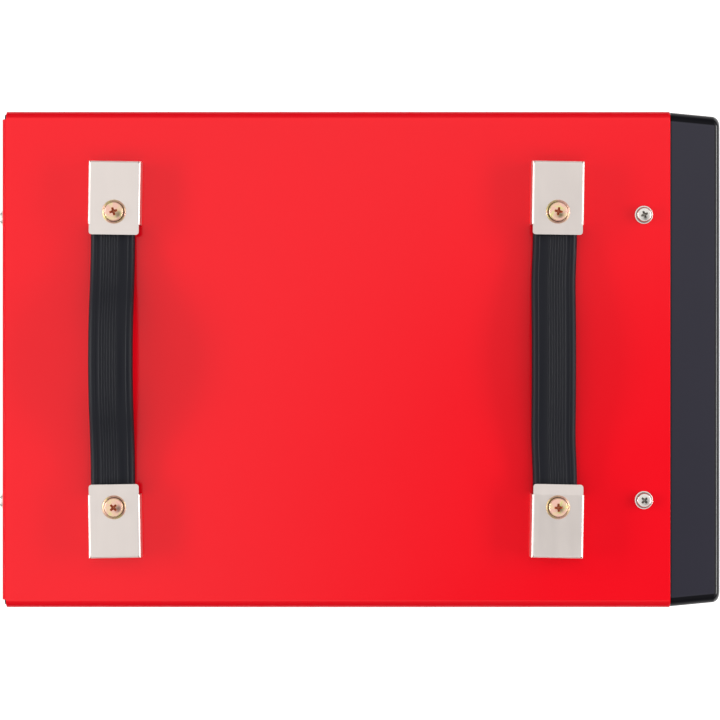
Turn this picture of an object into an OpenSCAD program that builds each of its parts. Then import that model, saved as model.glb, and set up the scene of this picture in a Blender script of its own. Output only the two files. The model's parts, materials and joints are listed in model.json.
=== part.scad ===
// Portable inverter welding machine: steel case, bezel, strap handles, fan, controls and power parts.
// Millimetres. +X points to the front, +Z up, origin under the middle of the whole machine, on the floor.

/* [Case] */
// Length of the steel cover, from its rear edge to the bezel's seam
cover_l = 396.7; // [380:0.1:440]
// Width over the cover's sides
body_w = 295; // [285:1:330]
// Height of the case without its feet
case_h = 300; // [290:1:350]
// Thickness of the cover's and the rear panel's sheet steel
sheet = 1.2; // [1:0.1:1.6]
// Outer radius of the cover's two long bends
bend_r = 5; // [4:0.5:7]
// Height of the flange bent down along the cover's rear edge
flange_h = 18; // [16:1:24]
// Outer radius of that flange's bend
flange_r = 2.4; // [2:0.1:3]
// Width of the corner relief at each end of the flange
relief_w = 5; // [4:0.5:8]
// Thickness of the chassis tray's sheet steel
tray_t = 1.5; // [1.2:0.1:2]
// Height of the tray's bent-up flanges
tray_flange = 28; // [24:1:34]

/* [Louvres] */
// Length of a louvre's straight part
louvre_l = 56; // [40:1:64]
// Outer radius of a louvre's hood
louvre_r = 5; // [4:0.5:6]
// Distance from one louvre to the next
louvre_pitch = 15; // [13:0.5:16]
// Louvres in one bank
louvre_count = 7; // [4:1:8]
// Distance of the top louvre below the cover's top
louvre_drop = 84; // [78:1:92]

/* [Feet] */
// Height of a rubber foot
foot_h = 12; // [10:1:20]
// Radius of a foot where it meets the tray
foot_r = 15; // [13:0.5:18]
// Distance of a foot's axis from the case's sides and ends
foot_inset = 38; // [34:1:50]

/* [Bezel] */
// Length of the moulded bezel in front of the seam
bezel_l = 30.3; // [27:0.1:36]
// Step from the cover's side in to the bezel's side at the seam
bezel_step = 0.5; // [0.2:0.1:1]
// How far the cover's side and the bezel's side are apart at the bezel's front
bezel_taper = 2.8; // [1.5:0.1:4]
// Radius of the bezel's long corners
bezel_r = 6; // [4:0.5:8]
// Rounding of the bezel's front rim
rim_round = 3.2; // [1.5:0.1:4]
// Width of the bezel's front rim
rim_w = 11; // [9:0.5:13]
// Wall thickness of the moulding
wall = 3; // [2.4:0.1:3.4]
// Length of the skirt that goes inside the cover
skirt_l = 24; // [22:0.5:28]
// Thickness of the control panel
panel_t = 2.5; // [2:0.1:3]

/* [Handles] */
// Distance of each handle's middle from the cover's end
handle_in = 67.7; // [60:0.1:80]
// Distance of a handle's screws from the cover's sides
handle_side = 60.5; // [55:0.1:65]
// Width of a handle cap
cap_w = 31.6; // [31:0.2:34]
// Length of a handle cap
cap_l = 44.4; // [43:0.1:50]
// Height of a handle cap
cap_h = 10.5; // [10:0.1:13]
// Thickness of the cap's sheet metal
cap_t = 1; // [0.8:0.1:1.2]
// Length of the cap's tongue, which has no side flanges
tongue_l = 6.2; // [5:0.1:8]
// How much narrower the tongue is than the cap, on each side
tongue_in = 0.7; // [0.3:0.1:1.2]
// Distance of the screw from the tongue's edge
cap_screw_in = 13.5; // [13:0.1:15]
// Depth of the dished seat under the screw's head
dish_h = 0.9; // [0.6:0.1:1]
// Width of the strap
strap_w = 26.2; // [24:0.2:26.4]
// Thickness of the strap
strap_t = 7; // [6:0.1:7.2]
// Sideways offset of the straps in their caps, toward the rear
strap_off = 1.3; // [0:0.1:1.4]
// How high the middle of the rear strap stands above its ends at rest
rear_rise = 12; // [8:0.5:16]
// How high the middle of the front strap stands above its ends at rest
front_rise = 5; // [4.8:0.1:8]
// How far a strap's end can slide
strap_travel = 8.4; // [8.4:0.1:10]

/* [Screws] */
// Distance of the cover screws from the cover's sides, on the top and at the rear
cover_screw_side = 62.9; // [55:0.1:70]
// Sideways offset of the two top cover screws, toward the left
cover_screw_shift = 1.2; // [0:0.1:2]
// Distance of the top cover screws behind the seam
cover_screw_in = 15.9; // [14:0.1:18]
// Distance of the rear cover screws below the cover's top
rear_screw_drop = 11; // [9:0.5:12]
// Radius of an M5 shank
m5_r = 2.5; // [2.3:0.1:2.7]
// Radius of an M6 shank
m6_r = 3; // [2.8:0.1:3.2]

/* [Fan] */
// Side of the square fan frame
fan_size = 119; // [115:1:120]
// Depth of the fan
fan_depth = 38; // [36:1:42]
// Height of the fan's axis above the tray
fan_up = 112; // [105:1:125]
// Clearance between the blade tips and the duct
tip_gap = 1.1; // [0.8:0.1:2]
// Number of fan blades
fan_blades = 7; // [5:1:9]
// Twist of a blade from hub to tip, in degrees
blade_twist = 16; // [8:1:20]

/* [Controls] */
// Distance of the meter's middle below the panel's top edge
meter_drop = 41; // [36:0.2:44]
// Distance of the mode switch below the meter's middle
mode_drop = 30; // [28:1:34]
// Distance of the two knobs below the meter's middle
knob_drop = 74; // [70:1:76]
// Distance of each knob from the panel's middle line
knob_out = 58; // [50:1:70]
// Radius of a knob's body
knob_r = 17; // [14:0.5:20]
// Length of a knob
knob_l = 16; // [14:0.5:17]
// Half of each rocker's swing, in degrees
rocker_tilt = 10; // [6:1:12]

/* [Output sockets] */
// Radius of a socket insert's bore
socket_bore_r = 6.55; // [6:0.05:7]
// Depth of that bore
socket_bore_l = 28; // [24:0.5:32]
// Distance of each socket from the panel's middle line
socket_out = 78; // [60:1:85]
// Height of the sockets above the tray
socket_up = 57; // [54:1:70]

/* [Power parts] */
// Length of a heatsink
heatsink_l = 170; // [140:1:180]
// Height of a heatsink
heatsink_h = 90; // [80:1:110]
// Fins on a heatsink
fin_count = 9; // [6:1:11]

/* [Hidden] */
$fn = 64;
fit = 0.2;          // gap between panels that lie inside one another
screw_gap = 0.1;    // radial gap around a screw's shank
pivot_gap = 0.05;   // radial running gap of a shaft or pin
soft_gap = 0.3;     // gap around a strap
deep = 2;           // how far a cut reaches past what it cuts
pilot_r = 1.6;      // hole of a small screw
m3_r = 1.5;         // shank of a small screw
m3_head = [2.9, 2];     // radius and height of a small screw's head
m5_head = [4.6, 3.3];   // radius and height of a rear or side screw's head
top_head = [5.4, 3.6];  // radius and height of a top screw's head
m6_head_h = 4;          // height of a handle screw's head
hex_r = 5.77 / 3;       // corner radius of a nut over its thread's radius

stud_l = 15;
earth_nut_l = 6.6;  // washer and nut on the stud, outside the panel
rear_reach = stud_l - sheet;
total_l = cover_l + bezel_l + rear_reach;
x_rear = -total_l / 2 + rear_reach;
x_seam = x_rear + cover_l;
x_front = x_seam + bezel_l;
x_panel = x_rear + sheet;
x_inside = x_panel + sheet;
z_bot = foot_h;
z_top = z_bot + case_h;
z_mid = z_bot + case_h / 2;
z_floor = z_bot + tray_t;
inner_w = body_w - 2 * sheet - 2 * fit;
inner_r = bend_r - sheet;

handle_x = [x_rear + handle_in, x_seam - handle_in];
handle_y = body_w / 2 - handle_side;
strap_lead = 0.5;   // how far beyond the mouth of its cap a strap starts to rise
mouth_y = handle_y - cap_screw_in - strap_lead;
sleeve_r = 4.5;
m6_hole_r = m6_r + 0.3;
m5_hole_r = m5_r + screw_gap;
m4_r = 2;
m4_hole_r = m4_r + screw_gap;
strap_z = z_top + soft_gap;
slot_r = sleeve_r + strap_off + 0.4;
dish_r = 7.5;
dish_floor_r = 6.4;

top_screw_x = x_seam - cover_screw_in;
cover_screw_y = body_w / 2 - cover_screw_side;
top_screw_y = [cover_screw_shift + cover_screw_y, cover_screw_shift - cover_screw_y];
rear_screw_z = z_top - rear_screw_drop;
tray_screw_z = z_bot + tray_flange * 0.6;
side_screw_z = z_top - 55;
rear_flange_l = 14;
side_screw_in = 60;
side_screws = [
    [x_rear + side_screw_in, tray_screw_z], [(x_rear + x_seam) / 2, tray_screw_z],
    [x_seam - side_screw_in, tray_screw_z],
    [x_inside + rear_flange_l * 0.6, side_screw_z], [top_screw_x, side_screw_z]
];
foot_x = [x_rear + foot_inset, x_seam - foot_inset];
foot_y = body_w / 2 - foot_inset;

slope = 3;
ledge_t = 4;
ledge_w = 8;
x_ledge = x_seam + ledge_t;
x_face = x_ledge + panel_t;
recess_inset = bezel_taper + rim_w;
panel_inset = recess_inset + slope;
panel_w = body_w - 2 * panel_inset - 2 * fit;
panel_h = case_h - 2 * panel_inset - 2 * fit;
panel_screw_y = panel_w / 2 - ledge_w / 2;
panel_screw_z = panel_h / 2 - ledge_w / 2;
meter_z = z_mid + panel_h / 2 - meter_drop;
mode_z = meter_z - mode_drop;
knob_z = meter_z - knob_drop;

fan_z = z_floor + fan_up;
fan_bore_r = fan_size / 2 - 2;
fan_hole_in = 7;   // from a side of the fan's frame to the middle of its screw holes
fan_hole_out = fan_size / 2 - fan_hole_in;
fan_hub_r = 26;
fan_tip_r = fan_bore_r - tip_gap;
fan_shaft_r = 1.5;
x_fan_end = x_inside + fan_depth;
eye_h = 6.2;

inlet_y = -78;
inlet_z = z_top - 62;
switch_y = 78;
earth_y = 43.5 - body_w / 2;
earth_neck_r = m6_r * 0.85;
earth_z = z_bot + 52;

meter_y = -knob_out;
meter_w = 78;
meter_h = 38;
window_w = 60;
window_h = 22;
meter_proud = 5;
meter_rim = 6;      // how much the meter's frame is wider than its body
board_post_z = meter_z + meter_h / 2 + 5;
lens_y = [34, 58, 82];
lens_r = 4;
mode_y = knob_out;
pot_shaft_r = 3;
pot_reach = 12;
knob_gap = 0.6;
socket_z = z_floor + socket_up;
shell_proud = 18;
shell_r = 17;
barrel_r = 14.5;    // the shell's barrel through the panel
insert_r = 11;
insert_in = 5;
x_insert = x_face + shell_proud - insert_in;
insert_l = socket_bore_l + 8;
x_insert_end = x_insert - insert_l;

board_gap = 26;
x_board = x_ledge - board_gap;
x_sink = x_fan_end + 16;
sink_in = 20;
sink_base = 8;
sink_out = 60;
z_sink = z_floor + heatsink_h;
x_coils = x_sink + heatsink_l + 52;
coil_y = 62;

red = [0.85, 0.08, 0.1];
black = [0.09, 0.09, 0.1];
grey = [0.45, 0.46, 0.48];
steel = [0.75, 0.76, 0.78];
nickel = [0.86, 0.83, 0.8];
zinc = [0.85, 0.75, 0.5];
brass = [0.8, 0.62, 0.28];
copper = [0.75, 0.42, 0.25];

// ---------------------------------------------------------------- shared shapes

// Extrudes a (y, z) outline along X, from x over the length l
module along_x(x, l) {
    translate([x, 0, 0]) rotate([90, 0, 90]) linear_extrude(l) children();
}

// Extrudes an (x, z) outline along Y, from y over the length l
module along_y(y, l) {
    translate([0, y + l, 0]) rotate([90, 0, 0]) linear_extrude(l) children();
}

// Rectangle with four rounded corners, centred
module round_rect(w, h, r) {
    square([w - 2 * r, h], center = true);
    square([w, h - 2 * r], center = true);
    for (sx = [-1, 1], sy = [-1, 1])
        translate([sx * (w / 2 - r), sy * (h / 2 - r)]) circle(r);
}

// Upright outline of width w from z0 to z1 with its two top corners rounded
module top_round(w, z0, z1, r) {
    translate([-w / 2, z0]) square([w, z1 - z0 - r]);
    translate([-w / 2 + r, z0]) square([w - 2 * r, z1 - z0]);
    for (s = [-1, 1]) translate([s * (w / 2 - r), z1 - r]) circle(r);
}

module rod_x(r, l) {
    rotate([0, 90, 0]) cylinder(r = r, h = l);
}

module rod_y(r, l) {
    rotate([-90, 0, 0]) cylinder(r = r, h = l);
}

// Pan-head screw, head on the plane z = 0, shank down, with a cross recess
module pan_screw(head_r, head_h, shank_r, shank_l) {
    dome_r = (head_r * head_r + head_h * head_h) / head_h;
    difference() {
        rotate_extrude() {
            intersection() {
                square([head_r, head_h]);
                translate([0, head_h - dome_r]) circle(dome_r);
            }
            translate([0, -shank_l]) square([shank_r, shank_l + 0.1]);
        }
        for (a = [0, 90])
            rotate(a) translate([-head_r * 0.5, -head_r * 0.1, head_h * 0.45])
                cube([head_r, head_r * 0.2, head_h]);
    }
}

// ---------------------------------------------------------------- case

// Half of a long round-ended outline, which turned about its straight side makes a louvre's form
module louvre_half(r) {
    intersection() {
        union() {
            translate([0, -louvre_l / 2]) square([r, louvre_l]);
            for (s = [-1, 1]) translate([0, s * louvre_l / 2]) circle(r);
        }
        translate([0, -louvre_l]) square([2 * r, 2 * louvre_l]);
    }
}

// Quarter turn of that outline, from the sheet's outer side up; the sheet reaches from y = 0 to y = -sheet
module louvre_quarter() {
    translate([0, -sheet, 0]) rotate([90, 0, 90]) rotate_extrude(angle = 90) children();
}

// Pressed hood of one louvre, open downward
module louvre_hood() {
    louvre_quarter() difference() {
        louvre_half(louvre_r);
        louvre_half(louvre_r - sheet * 0.8);
    }
}

// The opening through the sheet behind a hood
module louvre_slot() {
    translate([0, 0.2, 0]) louvre_quarter() louvre_half(louvre_r - sheet * 0.8);
    translate([-louvre_l / 2, -sheet - deep, 0]) cube([louvre_l, sheet + deep, louvre_r - sheet * 0.8]);
}

// Puts a louvre at every place on both sides of the cover
module each_louvre() {
    bank_in = 58 + louvre_l / 2;
    for (s = [0, 1], x = [x_rear + bank_in, x_seam - bank_in], i = [0 : louvre_count - 1])
        mirror([0, s, 0]) translate([x, body_w / 2, z_top - louvre_drop - i * louvre_pitch]) children();
}

module rear_flange() {
    w = body_w - 2 * relief_w;
    along_y(-w / 2, w) {
        translate([x_rear, z_top - flange_h]) square([sheet, flange_h - flange_r]);
        translate([x_rear + flange_r, z_top - sheet]) square([flange_r, sheet]);
        intersection() {
            translate([x_rear + flange_r, z_top - flange_r]) difference() {
                circle(flange_r);
                circle(flange_r - sheet);
            }
            translate([x_rear, z_top - flange_r]) square(flange_r);
        }
    }
}

module cover() {
    color(red) difference() {
        union() {
            difference() {
                along_x(x_rear + flange_r, cover_l - flange_r) difference() {
                    top_round(body_w, z_bot, z_top, bend_r);
                    top_round(body_w - 2 * sheet, z_bot - deep, z_top - sheet, inner_r);
                }
                each_louvre() louvre_slot();
            }
            each_louvre() louvre_hood();
            rear_flange();
        }
        for (s = [-1, 1]) {
            translate([top_screw_x, top_screw_y[(1 - s) / 2], z_top - sheet - deep])
                cylinder(r = m5_hole_r, h = sheet + 2 * deep);
            translate([x_rear - deep, s * cover_screw_y, rear_screw_z]) rod_x(m5_hole_r, sheet + 2 * deep);
            for (x = handle_x) translate([x, s * handle_y, z_top - sheet - deep])
                cylinder(r = m6_hole_r, h = sheet + 2 * deep);
            for (p = side_screws) translate([p[0], s * body_w / 2 - sheet - deep, p[1]])
                rod_y(m5_hole_r, 2 * sheet + 2 * deep);
        }
    }
}

module base_tray() {
    corner = tray_t + 1;
    side_x0 = x_inside + rear_flange_l + 3;
    side_x1 = x_seam - skirt_l - 3;
    color(black) difference() {
        union() {
            along_x(x_panel, x_seam - x_panel) intersection() {
                translate([0, 2 * z_bot + case_h]) mirror([0, 1]) top_round(inner_w, z_bot, z_top, corner);
                translate([-inner_w / 2, z_bot]) square([inner_w, tray_t]);
            }
            along_x(side_x0, side_x1 - side_x0) intersection() {
                translate([0, 2 * z_bot + case_h]) mirror([0, 1]) difference() {
                    top_round(inner_w, z_bot, z_top, corner);
                    top_round(inner_w - 2 * tray_t, z_bot - deep, z_top - tray_t, corner - tray_t);
                }
                translate([-inner_w / 2, z_bot]) square([inner_w, tray_flange]);
            }
            translate([x_inside, -inner_w / 2 + 20, z_bot]) cube([tray_t, inner_w - 40, tray_flange]);
        }
        for (x = foot_x, s = [-1, 1]) translate([x, s * foot_y, z_bot - deep])
            cylinder(r = m5_hole_r, h = tray_t + 2 * deep);
        for (s = [-1, 1]) {
            translate([top_screw_x, s * cover_screw_y, z_bot - deep])
                cylinder(r = m4_hole_r, h = tray_t + 2 * deep);
            translate([x_inside - deep, s * cover_screw_y, tray_screw_z])
                rod_x(m5_hole_r, tray_t + 2 * deep);
            for (p = side_screws) translate([p[0], s * inner_w / 2 - tray_t - deep, p[1]])
                rod_y(m5_hole_r, 2 * tray_t + 2 * deep);
        }
    }
}

module feet() {
    pocket_r = m5_r + 4;
    edge = 2;
    color(black) for (x = foot_x, s = [-1, 1]) translate([x, s * foot_y, 0]) difference() {
        rotate_extrude() {
            polygon([[0, 0], [foot_r - 2 - edge, 0], [foot_r - 2, edge], [foot_r, foot_h], [0, foot_h]]);
        }
        translate([0, 0, -deep]) cylinder(r = pocket_r, h = foot_h / 2 + deep);
        cylinder(r = m5_hole_r, h = foot_h + deep);
    }
}

module foot_screws() {
    color(steel) for (x = foot_x, s = [-1, 1]) translate([x, s * foot_y, foot_h / 2]) mirror([0, 0, 1])
        pan_screw(m5_r + 2, 3.4, m5_r, foot_h / 2 + tray_t + 5);
}

module rear_panel() {
    flange_z0 = z_bot + tray_flange + 4;
    flange_z1 = z_top - bend_r - 6;
    color(black) difference() {
        union() {
            along_x(x_panel, sheet) top_round(inner_w, z_floor, z_top - flange_r - fit, inner_r);
            for (s = [-1, 1]) translate([x_panel, s * (inner_w - sheet) / 2 - sheet / 2, flange_z0])
                cube([sheet + rear_flange_l, sheet, flange_z1 - flange_z0]);
        }
        translate([x_panel - deep, 0, fan_z]) rod_x(fan_bore_r, sheet + 2 * deep);
        each_fan_corner(x_panel - deep) rod_x(m4_hole_r, sheet + 2 * deep);
        along_x(x_panel - deep, sheet + 2 * deep) {
            translate([inlet_y, inlet_z]) round_rect(inlet_body[0] + 2 * fit, inlet_body[1] + 2 * fit, 2);
            translate([switch_y, inlet_z])
                round_rect(power_open[0] + rocker_rim, power_open[1] + rocker_rim, 1);
        }
        for (s = [-1, 1]) {
            translate([x_panel - deep, inlet_y + s * inlet_screw_out, inlet_z])
                rod_x(pilot_r, sheet + 2 * deep);
            translate([x_panel - deep, s * cover_screw_y, rear_screw_z]) rod_x(m5_hole_r, sheet + 2 * deep);
            translate([x_panel - deep, s * cover_screw_y, tray_screw_z]) rod_x(m5_hole_r, sheet + 2 * deep);
            for (p = side_screws) translate([p[0], s * inner_w / 2 - sheet - deep, p[1]])
                rod_y(m5_hole_r, 2 * sheet + 2 * deep);
        }
        translate([x_panel - deep, earth_y, earth_z]) rod_x(earth_neck_r + screw_gap, sheet + 2 * deep);
    }
}

// One thin slice of the bezel's outer form, set in from the case's outline
module bezel_slice(x, inset, r) {
    along_x(x, 0.1) translate([0, z_mid]) round_rect(body_w - 2 * inset, case_h - 2 * inset, r, $fn = 32);
}

module bezel_form(grow) {
    hull() {
        bezel_slice(x_seam - (grow > 0 ? deep : 0), bezel_step + grow, bezel_r - grow);
        bezel_slice(x_front - rim_round - grow - 0.1, bezel_taper + grow, bezel_r - grow);
        bezel_slice(x_front - rim_round * 0.3 - grow, bezel_taper + rim_round * 0.3 + grow, bezel_r - grow);
        bezel_slice(x_front - grow - 0.1, bezel_taper + rim_round + grow, bezel_r - grow);
    }
}

// The tapering well in front of the control panel; a positive grow gives its moulded wall
module recess_form(x0, x1, grow) {
    hull() {
        bezel_slice(x0, panel_inset - grow, bezel_r);
        bezel_slice(x1, recess_inset - grow, bezel_r);
    }
}

module front_bezel() {
    skirt_in = 2 * wall;
    color(black) difference() {
        union() {
            difference() {
                bezel_form(0);
                difference() {
                    bezel_form(wall);
                    recess_form(x_seam - deep - 0.1, x_front + deep, wall);
                }
            }
            along_x(x_seam - skirt_l, skirt_l + wall) difference() {
                top_round(inner_w, z_floor, z_top - sheet - fit, inner_r);
                top_round(inner_w - skirt_in, z_floor + wall, z_top - sheet - fit - wall, inner_r);
            }
        }
        recess_form(x_ledge, x_front + deep, 0);
        along_x(x_seam - deep, bezel_l) translate([0, z_mid])
            round_rect(panel_w - 2 * ledge_w, panel_h - 2 * ledge_w, bezel_r);
        for (s = [-1, 1]) {
            translate([top_screw_x, top_screw_y[(1 - s) / 2], z_top - sheet - fit - wall - deep])
                cylinder(r = m5_hole_r, h = wall + 2 * deep);
            translate([top_screw_x, s * cover_screw_y, z_floor - deep])
                cylinder(r = m4_hole_r, h = wall + 2 * deep);
            translate([top_screw_x, s * inner_w / 2 - wall - deep, side_screw_z])
                rod_y(m5_hole_r, 2 * wall + 2 * deep);
            for (t = [-1, 1]) translate([x_seam - deep, s * panel_screw_y, z_mid + t * panel_screw_z])
                rod_x(pilot_r, ledge_t + 2 * deep);
        }
    }
}

module bezel_screws() {
    color(steel) for (s = [-1, 1]) translate([top_screw_x, s * cover_screw_y, z_bot]) mirror([0, 0, 1])
        pan_screw(m4_r * 2, 2.6, m4_r, tray_t + wall + 4);
}

module cover_screws_top() {
    color(steel) for (y = top_screw_y) translate([top_screw_x, y, z_top])
        rotate(22) pan_screw(top_head[0], top_head[1], m5_r, sheet + wall + 8);
}

module cover_screws_rear() {
    color(steel) for (s = [-1, 1]) {
        translate([x_rear, s * cover_screw_y, rear_screw_z]) rotate([0, -90, 0])
            pan_screw(m5_head[0], m5_head[1], m5_r, 2 * sheet + 7);
        translate([x_panel, s * cover_screw_y, tray_screw_z]) rotate([0, -90, 0])
            pan_screw(m5_head[0], m5_head[1], m5_r, sheet + tray_t + 7);
    }
}

module cover_screws_side() {
    color(steel) for (s = [0, 1], p = side_screws) mirror([0, s, 0])
        translate([p[0], body_w / 2, p[1]]) rotate([-90, 0, 0])
            pan_screw(m5_head[0], m5_head[1], m5_r, sheet + wall + 6);
}

// ---------------------------------------------------------------- handles

// Block with the cap's outline, drawn in by inset on every outer face
module cap_block(inset) {
    corner = max(2.2 - inset, 0.8);
    w = cap_w - 2 * inset;
    y0 = -cap_screw_in;
    y1 = cap_l - cap_screw_in - inset;
    h = cap_h - inset;
    intersection() {
        along_y(y0 - (inset > 0 ? deep : 0), y1 - y0 + (inset > 0 ? deep : 0)) {
            translate([-w / 2, -inset]) square([w, h - corner + inset]);
            translate([-w / 2 + corner, -inset]) square([w - 2 * corner, h + inset]);
            for (s = [-1, 1]) translate([s * (w / 2 - corner), h - corner]) circle(corner);
        }
        along_x(-w / 2, w) {
            translate([y0 - deep, -inset]) square([y1 - y0 + deep, h - corner + inset]);
            translate([y0 - deep, -inset]) square([y1 - y0 + deep - corner, h + inset]);
            translate([y1 - corner, h - corner]) circle(corner);
        }
    }
}

// Folded cap with its screw at the origin, its mouth toward -Y and its closed end toward +Y
module handle_cap() {
    tongue_r = 1.7;
    color(nickel) difference() {
        union() {
            difference() {
                cap_block(0);
                cap_block(cap_t);
            }
            translate([0, 0, cap_h - cap_t - dish_h])
                cylinder(r1 = dish_floor_r, r2 = dish_r, h = dish_h + 0.1);
        }
        translate([0, 0, cap_h - dish_h]) cylinder(r1 = dish_floor_r, r2 = dish_r, h = dish_h + 0.01);
        translate([-cap_w, -cap_screw_in - deep, -deep])
            cube([2 * cap_w, tongue_l + deep, cap_h - cap_t + deep]);
        for (s = [0, 1]) mirror([s, 0, 0]) translate([cap_w / 2 - tongue_in, -cap_screw_in, -deep]) {
            translate([0, -deep, 0]) cube([2 * tongue_in, tongue_l + deep, cap_h + 2 * deep]);
            difference() {
                translate([-tongue_r, -deep, 0]) cube([tongue_r + deep, tongue_r + deep, cap_h + 2 * deep]);
                translate([-tongue_r, tongue_r, -deep]) cylinder(r = tongue_r, h = cap_h + 4 * deep);
            }
        }
        cylinder(r = m6_hole_r, h = cap_h + deep);
    }
}

// Puts a cap or fastener at one end of one handle; side is -1 or 1
module at_handle(i, side) {
    translate([handle_x[i], side * handle_y, z_top]) mirror([0, side < 0 ? 1 : 0, 0]) children();
}

module each_handle_screw() {
    for (i = [0, 1], side = [-1, 1]) at_handle(i, side) children();
}

module handle_screws() {
    head_z = cap_h - dish_h;
    color(zinc) each_handle_screw() translate([0, 0, head_z]) rotate(35)
        pan_screw(m6_r * 2, m6_head_h, m6_r, head_z + sheet + 9);
}

module handle_sleeves() {
    color(steel) each_handle_screw() difference() {
        cylinder(r = sleeve_r, h = cap_h - cap_t - dish_h);
        translate([0, 0, -deep]) cylinder(r = m6_hole_r, h = cap_h + 2 * deep);
    }
}

module handle_nuts() {
    washer_t = 1.6;
    color(steel) each_handle_screw() mirror([0, 0, 1]) translate([0, 0, sheet]) difference() {
        union() {
            cylinder(r = m6_r * 3, h = washer_t);
            cylinder(r = m6_r * hex_r, h = washer_t + 5, $fn = 6);
        }
        translate([0, 0, -deep]) cylinder(r = m6_r + screw_gap, h = 12);
    }
}

// Cross-section of a strap: x is up through its thickness, y across its width.
// Round flanks, a bead along each edge, and fine ribs along the middle.
module strap_section() {
    edge = strap_t / 2 - 0.2;
    flank = [for (a = [-90 : 30 : 90]) [edge * sin(a), edge * cos(a)]];
    rib_pitch = 1.9;
    ribs = 7;
    rib_h = 0.5;
    top = strap_t / 2;
    half = strap_w / 2 - edge;
    ridges = [for (i = [0 : ribs - 1]) let (y = ((ribs - 1) / 2 - i) * rib_pitch)
        each [[top - rib_h, y + 0.7], [top, y + 0.35], [top, y - 0.35], [top - rib_h, y - 0.7]]];
    polygon(concat(
        [for (p = flank) [p[0] - 0.2, half + p[1]]],
        [[top, half - 1], [top, half - 2.5], [top - rib_h, half - 3]],
        ridges,
        [[top - rib_h, -half + 3], [top, -half + 2.5], [top, -half + 1]],
        [for (i = [len(flank) - 1 : -1 : 0]) [flank[i][0] - 0.2, -half - flank[i][1]]]
    ));
}

// Radius and angle of the two equal arcs that carry a strap from flat at its caps up to its middle
function arch_r(rise) = round(100 * (pow(mouth_y / 2, 2) + pow(rise / 2, 2)) / rise) / 100;
function arch_a(rise) = acos(1 - rise / 2 / arch_r(rise));
function arch_end(rise) = 2 * arch_r(rise) * sin(arch_a(rise));

// The arc over the middle
module strap_crown(rise) {
    r = arch_r(rise);
    a = arch_a(rise);
    joint_a = 0.02;
    translate([0, 0, strap_t / 2 + rise - r]) rotate([0, -90, 0]) rotate(-a - joint_a)
        rotate_extrude(angle = 2 * a + 2 * joint_a) translate([r, 0]) strap_section();
}

// The arc of the opposite curve, from the flat at the cap toward the middle
module strap_haunch(rise) {
    r = arch_r(rise);
    translate([0, arch_end(rise), strap_t / 2 + r]) rotate([0, -90, 0]) rotate(180)
        rotate_extrude(angle = arch_a(rise)) translate([r, 0]) mirror([1, 0]) strap_section();
}

// Everything beyond the slanted plane that parts a strap's middle from its end: the middle lies over it
module strap_beyond(rise, gap) {
    split_y = mouth_y * 0.63;
    big = 200;
    translate([-big / 2, split_y + gap, strap_t / 2 + rise * 0.27]) rotate([-45, 0, 0])
        translate([0, 0, -big]) cube([big, big, 2 * big]);
}

module strap_middle(i, rise) {
    translate([handle_x[i] - strap_off, 0, strap_z]) {
        strap_crown(rise);
        for (s = [0, 1]) mirror([0, s, 0]) difference() {
            strap_haunch(rise);
            strap_beyond(rise, 0);
        }
    }
}

module strap_end(i, rise, side) {
    slot_y = handle_y;
    tip_y = slot_y + strap_travel + slot_r + 5;
    translate([handle_x[i] - strap_off, 0, strap_z]) mirror([0, side < 0 ? 1 : 0, 0]) {
        intersection() {
            strap_haunch(rise);
            strap_beyond(rise, soft_gap * 1.5);
        }
        difference() {
            translate([0, tip_y, strap_t / 2]) rotate([90, 0, 0]) linear_extrude(tip_y - arch_end(rise))
                rotate(90) strap_section();
            translate([0, slot_y, -deep]) cylinder(r = slot_r, h = strap_t + 2 * deep);
            translate([0, slot_y + strap_travel, -deep]) cylinder(r = slot_r, h = strap_t + 2 * deep);
            translate([-slot_r, slot_y, -deep]) cube([2 * slot_r, strap_travel, strap_t + 2 * deep]);
        }
    }
}

// ---------------------------------------------------------------- fan

module each_fan_corner(x) {
    for (sy = [-1, 1], sz = [-1, 1]) translate([x, sy * fan_hole_out, fan_z + sz * fan_hole_out]) children();
}

module fan_frame() {
    flange_t = 5;
    mount_t = 4;
    stator_x = x_inside + 9;
    color(black) difference() {
        union() {
            for (x = [x_inside, x_fan_end - flange_t]) along_x(x, flange_t) difference() {
                translate([0, fan_z]) round_rect(fan_size, fan_size, 7);
                translate([0, fan_z]) circle(fan_bore_r);
            }
            along_x(x_inside, fan_depth) translate([0, fan_z]) difference() {
                circle(fan_bore_r + 1.8);
                circle(fan_bore_r);
            }
            along_x(x_fan_end - mount_t, mount_t) translate([0, fan_z]) {
                circle(fan_hub_r);
                intersection() {
                    circle(fan_bore_r + 1);
                    for (a = [45, 135]) rotate(a) square([2 * fan_size, 6], center = true);
                }
            }
            along_x(stator_x, x_fan_end - stator_x) translate([0, fan_z]) circle(fan_hub_r - 6);
        }
        each_fan_corner(x_inside - deep) rod_x(m4_hole_r, fan_depth + 2 * deep);
        translate([stator_x - deep, 0, fan_z]) rod_x(fan_shaft_r + pivot_gap, 24);
    }
}

// One blade, its root at the origin, reaching out along Z, set across the fan's axis X
module fan_blade(root, tip) {
    camber_r = 36;
    half_t = 0.9;
    half_a = 22;
    steps = 4;
    section = concat(
        [for (i = [0 : steps]) let (a = -half_a + 2 * half_a * i / steps)
            [(camber_r + half_t) * cos(a) - camber_r, (camber_r + half_t) * sin(a)]],
        [for (i = [0 : steps]) let (a = half_a - 2 * half_a * i / steps)
            [(camber_r - half_t) * cos(a) - camber_r, (camber_r - half_t) * sin(a)]]
    );
    translate([0, 0, root]) linear_extrude(tip - root, twist = -blade_twist, slices = 4)
        rotate(-40 - blade_twist / 2) polygon(section);
}

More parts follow.
